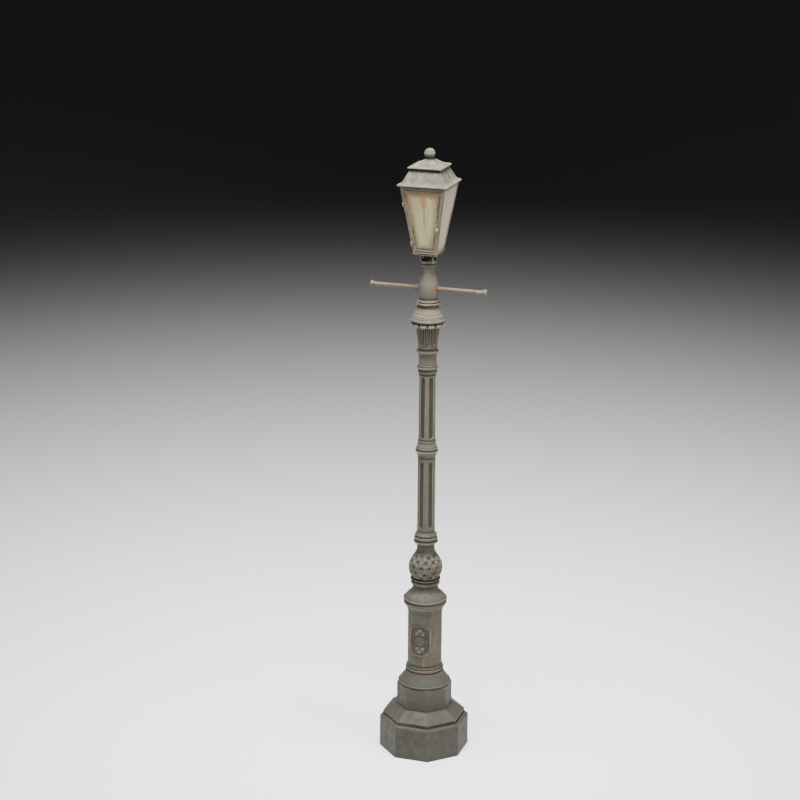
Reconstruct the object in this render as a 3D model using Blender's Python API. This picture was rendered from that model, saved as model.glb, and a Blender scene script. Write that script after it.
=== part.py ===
"""Street lamp post: a steel core clad in turned castings, with a ladder bar and a four-sided lantern.

Metres, +Z up, the origin on the ground at the post's centre, and the front (plaque and lantern
door) towards -Y. Every object is one physical piece.
"""

from math import acos, atan, cos, pi, radians, sin, sqrt

import bmesh
import bpy
from mathutils import Matrix, Vector

# Driving dimensions
GAP = 0.0003  # clearance between pieces that touch
SIDES = 20  # facets round a turned casting
PEDESTAL_SIDES = 24
OCTAGON = 8

PLINTH_R = 0.309  # corner radius of the lower octagon
PLINTH_TOP = 0.320
BLOCK_R = 0.191  # corner radius of the upper octagon
BLOCK_TOP = 0.483
MOULDING_TOP = 0.625
PEDESTAL_R = 0.118
PEDESTAL_BORE = 0.106
PEDESTAL_TOP = 1.195
RING_TOP = 1.254
BULB_TOP = 1.490
BULB_COLLAR_TOP = 1.595
LOWER_SHAFT_TOP = 2.120
MID_COLLAR_TOP = 2.245
UPPER_SHAFT_TOP = 2.700
CROWN_TOP = 2.880
BELL_TOP = 3.030
CORNICE_TOP = 3.165
NECK_RING_TOP = 3.218
VASE_TOP = 3.455
LOCATING_BORE = 0.0386  # rings and collars are a close fit on the core tube
SHAFT_BORE = 0.048

BASE_TUBE_R = 0.084
BASE_TUBE_BORE = 0.079
BASE_TUBE_TOP = 1.130
REDUCER_TOP = 1.150
CORE_R = 0.038
CORE_BORE = 0.033
CORE_BOTTOM = 1.050
CORE_TOP = 3.330
FLANGE_R = 0.205
FLANGE_THICKNESS = 0.012
ANCHOR_CIRCLE_R = 0.160
ANCHOR_HOLE_R = 0.0135
CABLE_ENTRY_R = 0.060

PANELS = 6  # sunk panels round each shaft
PANEL_DEPTH = 0.004
PANEL_TURN = radians(45.0)  # from -Y towards +X, to the middle of the first panel

PLAQUE_HALF = (0.0745, 0.1165)  # half width and half height of the elongated octagon
PLAQUE_CORNER = 0.036  # how much of each side the cut corners take
PLAQUE_CENTRE_Z = 0.818
PLAQUE_THICKNESS = 0.006

DOOR_Z = (0.655, 0.985)  # service door, at the back of the pedestal
DOOR_HALF_ANGLE = radians(27.0)
DOORWAY_HALF_ANGLE = radians(27.8)
DOORWAY_GAP = 0.0015
TUBE_DOORWAY_HALF_ANGLE = radians(31.0)
HINGE_ANGLE = radians(32.0)  # from +Y towards +X
HINGE_R = 0.1275
HINGE_HEIGHTS = (0.710, 0.920)
HINGE_PIN_R = 0.0035
LOCK_ANGLE = radians(20.0)  # from +Y towards -X
LOCK_Z = 0.820
LOCK_R = 0.008

LADDER_BAR_Z = 3.2875
LADDER_BAR_HALF = 0.403
ARM_R = 0.0145
ARM_TIP_R = 0.0135
ARM_KNOB_R = 0.0225
ARM_SPIGOT_R = 0.008
ARM_SPIGOT_END = 0.0505
VASE_R = 0.0655
FROG_ARMS = 4
FROG_ARM_WIDTH = 0.012

LANTERN_BOTTOM = 3.520
SILL_TOP = 3.546
HEAD_BOTTOM = 3.966
EAVE_BOTTOM = 3.985
ROOF_TOP = 4.095
CAP_TOP = 4.150
TOTAL_HEIGHT = 4.220
FACE_BOTTOM = (0.078, 3.524)  # half side and height where the lantern's faces start
FACE_TOP = (0.1525, 3.975)  # and where they end
POST_WIDTH = 0.012
POST_THICKNESS = 0.003
STILE = 0.011
EAVE_HALF = 0.1675
BALL_R = 0.0355

# The faces of the lantern lean outwards; each has its own frame: across, up the slope, outwards
LEAN = atan((FACE_TOP[0] - FACE_BOTTOM[0]) / (FACE_TOP[1] - FACE_BOTTOM[1]))
SPREAD = sin(LEAN)  # growth of the half side for each metre up the slope
LATCH_Z = 3.708
LATCH_INSET = 0.019  # from the lantern's edge to the middle of the door's stile
LANTERN_HINGES = (3.600, 3.866)
LANTERN_HINGE_OUT = 0.0045  # hinge axis in front of the face
LANTERN_HINGE_SIDE = 0.001  # and outside its edge
KNUCKLE_R = 0.0045
KNUCKLE_LENGTH = 0.014
LANTERN_PIN_R = 0.002

CABLE_R = 0.004
CORE_CABLE_START = 1.060  # from here the cable climbs straight up the core
CORE_CABLE_END = 3.568
NIPPLE_R = 0.0095
NIPPLE_BORE = 0.006
NIPPLE_HEIGHTS = (3.415, 3.560)


# Materials

def material(name, colour, roughness, metallic=0.0, alpha=1.0):
    made = bpy.data.materials.new(name)
    made.use_nodes = True
    shader = made.node_tree.nodes["Principled BSDF"]
    shader.inputs["Base Color"].default_value = (*colour, 1.0)
    shader.inputs["Roughness"].default_value = roughness
    shader.inputs["Metallic"].default_value = metallic
    shader.inputs["Alpha"].default_value = alpha
    return made


for old in list(bpy.data.objects):
    bpy.data.objects.remove(old)

PAINTED_IRON = material("painted_iron", (0.20, 0.19, 0.15), 0.75)
LANTERN_PAINT = material("lantern_paint", (0.34, 0.31, 0.26), 0.70)
DUSTY_GLASS = material("dusty_glass", (0.40, 0.38, 0.26), 0.55, alpha=0.7)
STEEL = material("steel", (0.35, 0.35, 0.34), 0.50, metallic=1.0)
BRASS = material("brass", (0.55, 0.42, 0.20), 0.40, metallic=1.0)
ENAMEL = material("white_enamel", (0.75, 0.75, 0.72), 0.30)
BLACK_PLASTIC = material("black_plastic", (0.03, 0.03, 0.03), 0.50)
BOARD = material("board", (0.30, 0.20, 0.12), 0.80)
CLEAR_GLASS = material("clear_glass", (0.85, 0.88, 0.88), 0.05, alpha=0.35)


# Tools for shapes

def add_object(name, mesh, finish):
    made = bpy.data.objects.new(name, mesh)
    bpy.context.collection.objects.link(made)
    if finish:
        mesh.materials.append(finish)
    return made


def mesh_from(bm, name, smooth=False):
    bmesh.ops.remove_doubles(bm, verts=bm.verts, dist=1e-6)
    bmesh.ops.recalc_face_normals(bm, faces=bm.faces)
    mesh = bpy.data.meshes.new(name)
    bm.to_mesh(mesh)
    bm.free()
    if smooth:
        mesh.shade_smooth()
        mesh.set_sharp_from_angle(angle=radians(35))
    return mesh


def arc(centre_r, centre_z, radius, start, end, steps=6):
    """Points of (radius, height) round a moulding, from one angle to another in degrees."""
    turns = [radians(start + (end - start) * i / steps) for i in range(steps + 1)]
    return [(centre_r + radius * cos(t), centre_z + radius * sin(t)) for t in turns]


def curve_through(points, steps=2):
    """A smooth curve through points, with some steps from each to the next."""
    vectors = [Vector(p) for p in points]
    ends = [vectors[0]] + vectors + [vectors[-1]]
    found = []
    for a, b, c, d in zip(ends, ends[1:], ends[2:], ends[3:]):
        for step in range(steps):
            t = step / steps
            bend = (2 * a - 5 * b + 4 * c - d) * t * t + (3 * b - a - 3 * c + d) * t**3
            found.append(tuple(b + 0.5 * ((c - a) * t + bend)))
    return found + [tuple(vectors[-1])]


def turned(name, outline, finish, sides=SIDES, whole=False, flat_front=False, smooth=True):
    """An outline of (radius, height) turned round Z.

    A whole piece has an outline that starts and ends on the axis; otherwise the outline is a
    closed loop round a bore. With flat_front the radii are those of the flats, and one flat
    faces -Y.
    """
    bm = bmesh.new()
    start = pi / sides if flat_front else 0.0
    stretch = 1 / cos(pi / sides) if flat_front else 1.0
    first = Matrix.Rotation(start - pi / 2, 3, "Z")
    verts = [bm.verts.new(first @ Vector((r * stretch, 0, z))) for r, z in outline]
    pairs = list(zip(verts, verts[1:]))
    if not whole:
        pairs.append((verts[-1], verts[0]))
    edges = [bm.edges.new(pair) for pair in pairs]
    bmesh.ops.spin(
        bm, geom=verts + edges, cent=(0, 0, 0), axis=(0, 0, 1), angle=2 * pi, steps=sides,
        use_merge=True,
    )
    return add_object(name, mesh_from(bm, name, smooth), finish)


def solid_outline(low, high, radius):
    return [(0, low), (radius, low), (radius, high), (0, high)]


def rod(name, radius, low, high, finish, sides=12):
    return turned(name, solid_outline(low, high, radius), finish, sides, whole=True)


def corner_radii(outline):
    """An octagon's outline given by its corners, as turned() wants it by its flats."""
    return [(r * cos(pi / OCTAGON), z) for r, z in outline]


def box(name, low, high, finish=None):
    bm = bmesh.new()
    bmesh.ops.create_cube(bm, size=1)
    size = Vector(high) - Vector(low)
    middle = (Vector(high) + Vector(low)) / 2
    bmesh.ops.scale(bm, vec=size, verts=bm.verts)
    bmesh.ops.translate(bm, vec=middle, verts=bm.verts)
    return add_object(name, mesh_from(bm, name), finish)


def extruded(name, outline, low, high, finish=None):
    """A flat outline of (x, y) points raised from one height to another."""
    bm = bmesh.new()
    face = bm.faces.new([bm.verts.new((x, y, low)) for x, y in outline])
    raised = bmesh.ops.extrude_face_region(bm, geom=[face])["geom"]
    top = [v for v in raised if isinstance(v, bmesh.types.BMVert)]
    bmesh.ops.translate(bm, vec=(0, 0, high - low), verts=top)
    return add_object(name, mesh_from(bm, name), finish)


def sector(name, radii, heights, half_angle, finish=None, steps=8, centre=0.0):
    """A stretch of tube wall about the +Y direction, turned by centre towards -X."""
    bm = bmesh.new()
    aim = Matrix.Rotation(centre - half_angle, 3, "Z")
    (inner, outer), (low, high) = radii, heights
    corners = [(inner, low), (outer, low), (outer, high), (inner, high)]
    verts = [bm.verts.new(aim @ Vector((0, r, z))) for r, z in corners]
    face = bm.faces.new(verts)
    bmesh.ops.spin(
        bm, geom=[face], cent=(0, 0, 0), axis=(0, 0, 1), angle=2 * half_angle, steps=steps,
    )
    return add_object(name, mesh_from(bm, name, True), finish)


def with_boolean(target, other, operation):
    step = target.modifiers.new(other.name, "BOOLEAN")
    step.operation = operation
    step.solver = "EXACT"
    step.object = other
    other.hide_render = True
    other.display_type = "WIRE"
    return target


def cut(target, *cutters):
    for cutter in cutters:
        with_boolean(target, cutter, "DIFFERENCE")
    return target


def join(target, *others):
    for other in others:
        with_boolean(target, other, "UNION")
    return target


def place(made, matrix, parent=None):
    """Puts an object modelled about the origin where the matrix says."""
    made.matrix_world = matrix
    if parent:
        made.parent = parent
    return made


def pivot(name, matrix):
    """An empty whose +Z is a joint's axis."""
    made = bpy.data.objects.new(name, None)
    made.matrix_world = matrix
    made.empty_display_size = 0.05
    bpy.context.collection.objects.link(made)
    return made


# Steel core

def make_base_flange():
    plate = turned(
        "base_flange",
        [(CABLE_ENTRY_R, 0), (FLANGE_R, 0), (FLANGE_R, FLANGE_THICKNESS),
         (CABLE_ENTRY_R, FLANGE_THICKNESS)],
        STEEL,
    )
    for i in range(4):
        turn = Matrix.Rotation(pi / 4 + i * pi / 2, 4, "Z")
        spot = turn @ Matrix.Translation((ANCHOR_CIRCLE_R, 0, 0))
        hole = rod(f"anchor_hole_{i + 1}", ANCHOR_HOLE_R, -0.01, 0.03, None)
        cut(plate, place(hole, spot))
        stud = rod(f"anchor_bolt_{i + 1}", 0.012, 0.0, 0.055, STEEL)
        low = FLANGE_THICKNESS + GAP
        nut = rod(f"anchor_nut_{i + 1}", 0.0208, low, low + 0.022, None, sides=6)
        join(place(stud, spot), place(nut, spot))


def make_tubes():
    low = FLANGE_THICKNESS + GAP
    tube = turned(
        "base_tube",
        [(BASE_TUBE_BORE, low), (BASE_TUBE_R, low), (BASE_TUBE_R, BASE_TUBE_TOP),
         (BASE_TUBE_BORE, BASE_TUBE_TOP)],
        STEEL, PEDESTAL_SIDES,
    )
    doorway = sector("tube_doorway", (0.07, 0.09), DOOR_Z, TUBE_DOORWAY_HALF_ANGLE)
    cut(tube, doorway)
    turned(
        "reducer_ring",
        [(LOCATING_BORE, BASE_TUBE_TOP + GAP), (BASE_TUBE_R, BASE_TUBE_TOP + GAP),
         (BASE_TUBE_R, REDUCER_TOP), (LOCATING_BORE, REDUCER_TOP)],
        STEEL,
    )
    turned(
        "core_tube",
        [(CORE_BORE, CORE_BOTTOM), (CORE_R, CORE_BOTTOM), (CORE_R, CORE_TOP),
         (CORE_BORE, CORE_TOP)],
        STEEL,
    )


# Base castings

def make_plinth():
    outline = [
        (0.287, 0), (PLINTH_R, 0), (PLINTH_R, 0.225), (0.300, 0.232),
        (0.280, 0.236), (0.280, 0.258), (0.288, 0.262), (BLOCK_R + 0.001, PLINTH_TOP),
        (0.100, PLINTH_TOP), (0.100, 0.306), (0.180, 0.306), (0.262, 0.256),
        (0.262, 0.232), (0.287, 0.222),
    ]
    turned("plinth", corner_radii(outline), PAINTED_IRON, OCTAGON, flat_front=True, smooth=False)


def make_plinth_block():
    low = PLINTH_TOP + GAP
    outline = [
        (0.172, low), (BLOCK_R, low), (BLOCK_R, BLOCK_TOP - 0.005), (BLOCK_R - 0.005, BLOCK_TOP),
        (0.100, BLOCK_TOP), (0.100, BLOCK_TOP - 0.015), (0.172, BLOCK_TOP - 0.015),
    ]
    turned(
        "plinth_block", corner_radii(outline), PAINTED_IRON, OCTAGON, flat_front=True,
        smooth=False,
    )


def make_base_moulding():
    low = BLOCK_TOP + GAP
    bore = 0.100
    outline = [(bore, low), (0.174, low)]
    outline += arc(0.1745, low + 0.0075, 0.0075, -60, 60, 3)
    outline += [(0.170, 0.500)]
    outline += curve_through([(0.168, 0.504), (0.156, 0.524), (0.140, 0.548), (0.130, 0.574)])
    outline += [(0.125, 0.580)]
    outline += arc(0.1145, 0.6015, 0.0185, -80, 80, 6)
    outline += [(0.117, MOULDING_TOP - GAP), (bore, MOULDING_TOP - GAP)]
    turned("base_moulding", outline, PAINTED_IRON, SIDES)


def make_pedestal():
    low = MOULDING_TOP
    outline = [(PEDESTAL_BORE, low), (PEDESTAL_R, low), (PEDESTAL_R, 1.019)]
    outline += [(0.1215, 1.024), (0.1215, 1.034), (0.126, 1.042)]
    outline += curve_through([(0.132, 1.051), (0.143, 1.063), (0.148, 1.078), (0.1455, 1.088)])
    outline += [(0.1435, 1.091), (0.1485, 1.096), (0.150, 1.103), (0.146, 1.111)]
    outline += curve_through([
        (0.135, 1.124), (0.110, 1.146), (0.090, 1.171), (0.087, PEDESTAL_TOP),
    ])
    outline += [
        (LOCATING_BORE, PEDESTAL_TOP), (LOCATING_BORE, 1.156), (0.086, 1.153), (0.086, 1.130),
        (PEDESTAL_BORE, 1.110),
    ]
    pedestal = turned("pedestal", outline, PAINTED_IRON, PEDESTAL_SIDES)
    heights = (DOOR_Z[0] - DOORWAY_GAP, DOOR_Z[1] + DOORWAY_GAP)
    cut(pedestal, sector("doorway", (0.100, 0.130), heights, DOORWAY_HALF_ANGLE))


def octagon_outline(half_width, half_height, corner):
    """An upright rectangle with its corners cut, anticlockwise."""
    right, top = half_width, half_height
    inner_x, inner_y = right - corner, top - corner
    quarter = [(right, -inner_y), (right, inner_y), (inner_x, top), (-inner_x, top)]
    return quarter + [(-x, -y) for x, y in quarter]


def make_plaque():
    inside = PEDESTAL_R + GAP
    half = PLAQUE_HALF[1] + 0.01
    heights = (PLAQUE_CENTRE_Z - half, PLAQUE_CENTRE_Z + half)
    plate = sector(
        "plaque", (inside, inside + PLAQUE_THICKNESS), heights, radians(60), PAINTED_IRON, 8,
        centre=pi,
    )
    shape = extruded("plaque_shape", octagon_outline(*PLAQUE_HALF, PLAQUE_CORNER), 0.02, 0.20)
    place(shape, Matrix.Translation((0, 0, PLAQUE_CENTRE_Z)) @ Matrix.Rotation(pi / 2, 4, "X"))
    with_boolean(plate, shape, "INTERSECT")


# Column castings

def make_pedestal_ring():
    low = PEDESTAL_TOP + GAP
    outline = [(LOCATING_BORE, low), (0.087, low), (0.089, 1.203)]
    outline += arc(0.0835, 1.2195, 0.0165, -70, 70, 6)
    outline += [(0.093, 1.237), (0.1025, 1.242), (0.1025, 1.251), (0.099, RING_TOP)]
    outline += [(LOCATING_BORE, RING_TOP)]
    turned("pedestal_ring", outline, PAINTED_IRON)


def make_bulb():
    low = RING_TOP + GAP
    outline = [(LOCATING_BORE, low)]
    outline += curve_through([
        (0.089, low), (0.106, 1.284), (0.114, 1.326), (0.107, 1.371), (0.082, 1.415),
        (0.064, 1.450), (0.061, BULB_TOP),
    ])
    outline += [(LOCATING_BORE, BULB_TOP)]
    turned("bulb", outline, PAINTED_IRON)
    low = BULB_TOP + GAP
    collar = [(LOCATING_BORE, low), (0.062, low)]
    collar += [(0.076, 1.507), (0.0845, 1.517), (0.081, 1.535), (0.076, 1.564)]
    collar += [(0.069, 1.577), (0.062, BULB_COLLAR_TOP), (LOCATING_BORE, BULB_COLLAR_TOP)]
    turned("bulb_collar", collar, PAINTED_IRON)


def make_shaft(name, low, high, radii, margin, panel_half):
    """A tapering shaft with sunk, round-ended panels round it, clear of its ends by margin."""
    outline = [(SHAFT_BORE, low), (radii[0], low), (radii[1], high), (SHAFT_BORE, high)]
    shaft = turned(name, outline, PAINTED_IRON, PANELS * 5)
    half_height = (high - low) / 2 - margin - panel_half
    rounded = []
    for middle, first in ((half_height, 0), (-half_height, 180)):
        rounded += arc(0, middle, panel_half, first, first + 180, 4)
    floor = min(radii) - PANEL_DEPTH
    centre_z = (low + high) / 2
    for i in range(PANELS):
        cutter = extruded(f"{name}_panel_{i + 1}", rounded, floor, floor + 0.03)
        turn = Matrix.Rotation(PANEL_TURN + i * 2 * pi / PANELS, 4, "Z")
        stand = Matrix.Translation((0, 0, centre_z)) @ turn @ Matrix.Rotation(pi / 2, 4, "X")
        cut(shaft, place(cutter, stand))


def make_mid_collar():
    low = LOWER_SHAFT_TOP + GAP
    outline = [(LOCATING_BORE, low), (0.0615, low)]
    outline += curve_through([(0.065, 2.134), (0.072, 2.154), (0.076, 2.177)], 2)
    outline += curve_through([(0.071, 2.191), (0.063, 2.216), (0.0585, MID_COLLAR_TOP)], 2)
    outline += [(LOCATING_BORE, MID_COLLAR_TOP)]
    turned("mid_collar", outline, PAINTED_IRON)


def make_shaft_crown():
    low = UPPER_SHAFT_TOP + GAP
    outline = [(LOCATING_BORE, low), (0.0590, low)]
    outline += arc(0.0565, 2.7225, 0.0085, -70, 70, 3)
    outline += [(0.0605, 2.738)]
    outline += arc(0.0600, 2.757, 0.011, -70, 70, 4)
    outline += [(0.0600, 2.775), (0.0600, 2.842), (0.068, 2.850)]
    outline += arc(0.0655, 2.8645, 0.0095, -60, 60, 4)
    outline += [(0.064, CROWN_TOP), (LOCATING_BORE, CROWN_TOP)]
    turned("shaft_crown", outline, PAINTED_IRON)


def make_capital():
    low = CROWN_TOP + GAP
    outline = [(LOCATING_BORE, low)]
    outline += curve_through([(0.0635, low), (0.0665, 2.940), (0.075, 2.990), (0.080, BELL_TOP)])
    outline += [(LOCATING_BORE, BELL_TOP)]
    turned("capital_bell", outline, PAINTED_IRON)
    low = BELL_TOP + GAP
    outline = [(LOCATING_BORE, low), (0.093, low)]
    outline += arc(0.0980, 3.0475, 0.0125, -70, 70, 4)
    outline += [(0.103, 3.066), (0.114, 3.074)]
    outline += arc(0.1105, 3.086, 0.0085, -45, 45, 3)
    outline += curve_through([(0.105, 3.108), (0.094, 3.128), (0.077, 3.150), (0.071, CORNICE_TOP)])
    outline += [(LOCATING_BORE, CORNICE_TOP)]
    turned("capital_cornice", outline, PAINTED_IRON)


def make_neck():
    low = CORNICE_TOP + GAP
    outline = [(LOCATING_BORE, low), (0.071, low), (0.067, 3.178)]
    outline += arc(0.0690, 3.195, 0.0105, -65, 65, 4)
    outline += [(0.062, 3.211), (0.057, NECK_RING_TOP), (LOCATING_BORE, NECK_RING_TOP)]
    turned("neck_ring", outline, PAINTED_IRON)
    low = NECK_RING_TOP + GAP
    outline = [(LOCATING_BORE, low), (0.056, low)]
    outline += curve_through([
        (0.060, 3.235), (0.0645, 3.262), (VASE_R, 3.290), (0.057, 3.336), (0.046, 3.374),
        (0.0385, 3.410), (0.0385, 3.432), (0.046, VASE_TOP),
    ])
    outline += [(NIPPLE_R + GAP, VASE_TOP), (NIPPLE_R + GAP, 3.345)]
    outline += [(LOCATING_BORE, CORE_TOP + GAP)]
    vase = turned("neck_vase", outline, PAINTED_IRON)
    for side, turn in (("left", -pi / 2), ("right", pi / 2)):
        hole = rod(f"arm_hole_{side}", ARM_SPIGOT_R + 2 * GAP, ARM_SPIGOT_END - GAP, 0.09, None)
        spot = Matrix.Translation((0, 0, LADDER_BAR_Z)) @ Matrix.Rotation(turn, 4, "Y")
        cut(vase, place(hole, spot))


def make_ladder_arm(side, turn):
    """One arm of the ladder bar, turned along its length and screwed into the vase."""
    root = VASE_R + 0.001
    tip = LADDER_BAR_HALF
    outline = [(0, ARM_SPIGOT_END), (ARM_SPIGOT_R, ARM_SPIGOT_END), (ARM_SPIGOT_R, root)]
    outline += [(0.019, root), (0.019, root + 0.008), (0.0165, root + 0.011)]
    outline += [(ARM_R, root + 0.014), (ARM_TIP_R, tip - 0.028), (0.0165, tip - 0.022)]
    outline += [(ARM_KNOB_R, tip - 0.015), (ARM_KNOB_R, tip - 0.004), (0.019, tip), (0, tip)]
    arm = turned(f"ladder_arm_{side}", outline, PAINTED_IRON, 12, whole=True)
    place(arm, Matrix.Translation((0, 0, LADDER_BAR_Z)) @ Matrix.Rotation(turn, 4, "Y"))


# Lantern

def half_side(z):
    """The lantern's half side at a height, at the outside of its corner posts."""
    return FACE_BOTTOM[0] + (z - FACE_BOTTOM[1]) * (SPREAD / cos(LEAN))


def slope_height(z):
    """How far up a leaning face a height lies."""
    return (z - FACE_BOTTOM[1]) / cos(LEAN)


def face_frame(quarter):
    """The frame of one face: X across, Y up the slope, Z outwards. Quarter 0 is the front."""
    across = Vector((1, 0, 0))
    up = Vector((0, -sin(LEAN), cos(LEAN)))
    out = across.cross(up)
    axes = Matrix((across, up, out)).transposed().to_4x4()
    origin = Matrix.Translation((0, -FACE_BOTTOM[0], FACE_BOTTOM[1]))
    return Matrix.Rotation(quarter * pi / 2, 4, "Z") @ origin @ axes


def face_trapezium(low_z, high_z, inset):
    """The part of a face between two heights, in by inset from the lantern's sloping edges."""
    low, high = half_side(low_z) - inset, half_side(high_z) - inset
    bottom, top = slope_height(low_z), slope_height(high_z)
    return [(-low, bottom), (low, bottom), (high, top), (-high, top)]


def make_frog():
    """The bracket of four bowed arms that carries the lantern."""
    low = VASE_TOP + GAP
    bore = NIPPLE_R + GAP
    hub = [(bore, low), (0.042, low), (0.042, low + 0.009), (bore, low + 0.009)]
    frog = turned("frog", hub, PAINTED_IRON)
    end = LANTERN_BOTTOM - GAP
    outer = [(0.040, 3.4563), (0.053, 3.463), (0.0610, 3.478), (0.0620, 3.500), (0.0590, end)]
    inner = [(0.0470, end), (0.0520, 3.499), (0.0515, 3.483), (0.0455, 3.471), (0.036, 3.4635)]
    half = FROG_ARM_WIDTH / 2
    upright = Matrix.Rotation(pi / 2, 4, "X")
    for i in range(FROG_ARMS):
        arm = extruded(f"frog_arm_{i + 1}", outer + inner, -half, half)
        turn = Matrix.Rotation(pi / 4 + i * 2 * pi / FROG_ARMS, 4, "Z")
        join(frog, place(arm, turn @ upright))


def make_tray():
    bore = NIPPLE_R + GAP
    outer = half_side(SILL_TOP)
    outline = [
        (bore, LANTERN_BOTTOM), (FACE_BOTTOM[0] - 0.002, LANTERN_BOTTOM),
        (FACE_BOTTOM[0], LANTERN_BOTTOM + 0.004), (outer, SILL_TOP), (outer - 0.010, SILL_TOP),
        (FACE_BOTTOM[0] - 0.008, LANTERN_BOTTOM + 0.006), (bore, LANTERN_BOTTOM + 0.006),
    ]
    turned("lantern_tray", outline, LANTERN_PAINT, 4, flat_front=True, smooth=False)
    low, high = NIPPLE_HEIGHTS
    nipple = [(NIPPLE_BORE, low), (NIPPLE_R, low), (NIPPLE_R, high), (NIPPLE_BORE, high)]
    turned("lantern_nipple", nipple, BRASS, 12)


def make_lantern_post(name, side_x, side_y):
    """A corner post: an angle section that leans out with the faces."""
    low, high = SILL_TOP + GAP, HEAD_BOTTOM - GAP
    w, t = POST_WIDTH, POST_THICKNESS
    section = [(0, 0), (w, 0), (w, t), (t, t), (t, w), (0, w)]
    start = half_side(low)
    outline = [(side_x * (start - x), side_y * (start - y)) for x, y in section]
    post = extruded(name, outline, low, high, LANTERN_PAINT)
    push = SPREAD / cos(LEAN)
    shear = Matrix.Identity(4)
    for row, side in ((0, side_x), (1, side_y)):
        shear[row][2] = side * push
        shear[row][3] = -side * push * low
    post.data.transform(shear)


def make_head_frame():
    low, high = half_side(HEAD_BOTTOM), half_side(FACE_TOP[1])
    outline = [
        (0.128, HEAD_BOTTOM), (low, HEAD_BOTTOM), (high, FACE_TOP[1]), (high, EAVE_BOTTOM),
        (0.128, EAVE_BOTTOM),
    ]
    turned("head_frame", outline, LANTERN_PAINT, 4, flat_front=True, smooth=False)


def make_panes():
    for name, quarter in (("pane_right", 1), ("pane_back", 2), ("pane_left", 3)):
        outline = face_trapezium(SILL_TOP + 0.0015, HEAD_BOTTOM - 0.0015, 0.009)
        pane = extruded(name, outline, -0.0075, -0.0035, DUSTY_GLASS)
        place(pane, face_frame(quarter))


def hinge_frame():
    """The lantern door's hinge: +Z up the sloping edge, +X towards the door, +Y inwards."""
    along = Vector((-SPREAD, 1, 0)).normalized()
    inwards = Vector((0, 0, -1))
    axes = Matrix((inwards.cross(along), inwards, along)).transposed()
    start = Matrix.Translation((-FACE_BOTTOM[0] - LANTERN_HINGE_SIDE, 0, LANTERN_HINGE_OUT))
    return face_frame(0) @ start @ axes.to_4x4()


def along_hinge(z):
    """Where on the hinge axis a height lies, measured from its start."""
    axis = hinge_frame()
    return (z - axis.translation.z) / axis.col[2].z


def make_lantern_door():
    swing = pivot("lantern_door_swing", hinge_frame())
    to_swing = swing.matrix_world.inverted()
    low, high = SILL_TOP + 0.0035, HEAD_BOTTOM - 0.003
    edge = POST_WIDTH + 0.0015
    frame = extruded("lantern_door_frame", face_trapezium(low, high, edge), -0.006, 0.0012,
                     LANTERN_PAINT)
    opening = face_trapezium(low + STILE, high - STILE, edge + STILE)
    hole = extruded("lantern_door_opening", opening, -0.03, 0.03)
    face = face_frame(0)
    cut(place(frame, face), place(hole, face))
    for label, z in zip(("lower", "upper"), LANTERN_HINGES):
        spot = Matrix.Translation((0, 0, along_hinge(z)))
        strap = box(f"strap_{label}", (0.0, 0.0012, 0.001), (0.0235, 0.004, KNUCKLE_LENGTH))
        barrel = rod(f"door_knuckle_{label}", KNUCKLE_R, GAP, KNUCKLE_LENGTH, None)
        bore = rod(f"door_knuckle_bore_{label}", LANTERN_PIN_R + GAP, -0.01, 0.03, None)
        for piece in (strap, barrel, bore):
            place(piece, swing.matrix_world @ spot)
        cut(join(frame, strap, barrel), bore)
    latch_hole = rod("latch_hole", 0.0036, -0.02, 0.02, None)
    cut(frame, place(latch_hole, latch_frame()))
    pane = extruded(
        "lantern_door_pane",
        face_trapezium(low + STILE + 0.0005, high - STILE - 0.0005, edge + STILE + 0.0005),
        -0.005, -0.001, DUSTY_GLASS,
    )
    place(pane, face)
    for made in (frame, pane):
        made.data.transform(to_swing @ face)
        made.matrix_world = swing.matrix_world
        made.parent = swing
        made.matrix_parent_inverse = to_swing


def make_lantern_hinges():
    """The knuckles that stay on the corner post, and the pins through them."""
    axis = hinge_frame()
    for label, z in zip(("lower", "upper"), LANTERN_HINGES):
        spot = axis @ Matrix.Translation((0, 0, along_hinge(z)))
        low = -KNUCKLE_LENGTH
        knuckle = rod(f"lantern_hinge_{label}", KNUCKLE_R, low, -GAP, LANTERN_PAINT)
        leaf = box(f"hinge_leaf_{label}", (-0.0038, 0.001, low), (-0.0002, 0.0165, -GAP))
        bore = rod(f"hinge_bore_{label}", LANTERN_PIN_R + GAP, -0.03, 0.01, None)
        for piece in (knuckle, leaf, bore):
            place(piece, spot)
        cut(join(knuckle, leaf), bore)
        pin = rod(f"lantern_hinge_pin_{label}", LANTERN_PIN_R, low - 0.001, -low + 0.001, BRASS, 8)
        place(pin, spot)


def latch_frame():
    """The latch's spindle: +Z outwards through the door's right stile."""
    across = half_side(LATCH_Z) - LATCH_INSET
    return face_frame(0) @ Matrix.Translation((across, slope_height(LATCH_Z), 0))


def make_latch():
    """A turn button: a knob outside and a cam inside, pointing down when the door is free."""
    outline = [(0, -0.012), (0.003, -0.012), (0.003, 0.0022), (0.0075, 0.0022), (0.0055, 0.006)]
    outline += arc(0.004, 0.0115, 0.0045, -40, 60, 3) + [(0, 0.0165)]
    latch = turned("lantern_latch", outline, BRASS, 12, whole=True)
    cam = box("latch_cam", (-0.003, -0.0105, -0.0115), (0.003, 0.003, -0.0085))
    for piece in (latch, cam):
        place(piece, latch_frame())
    join(latch, cam)


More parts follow.
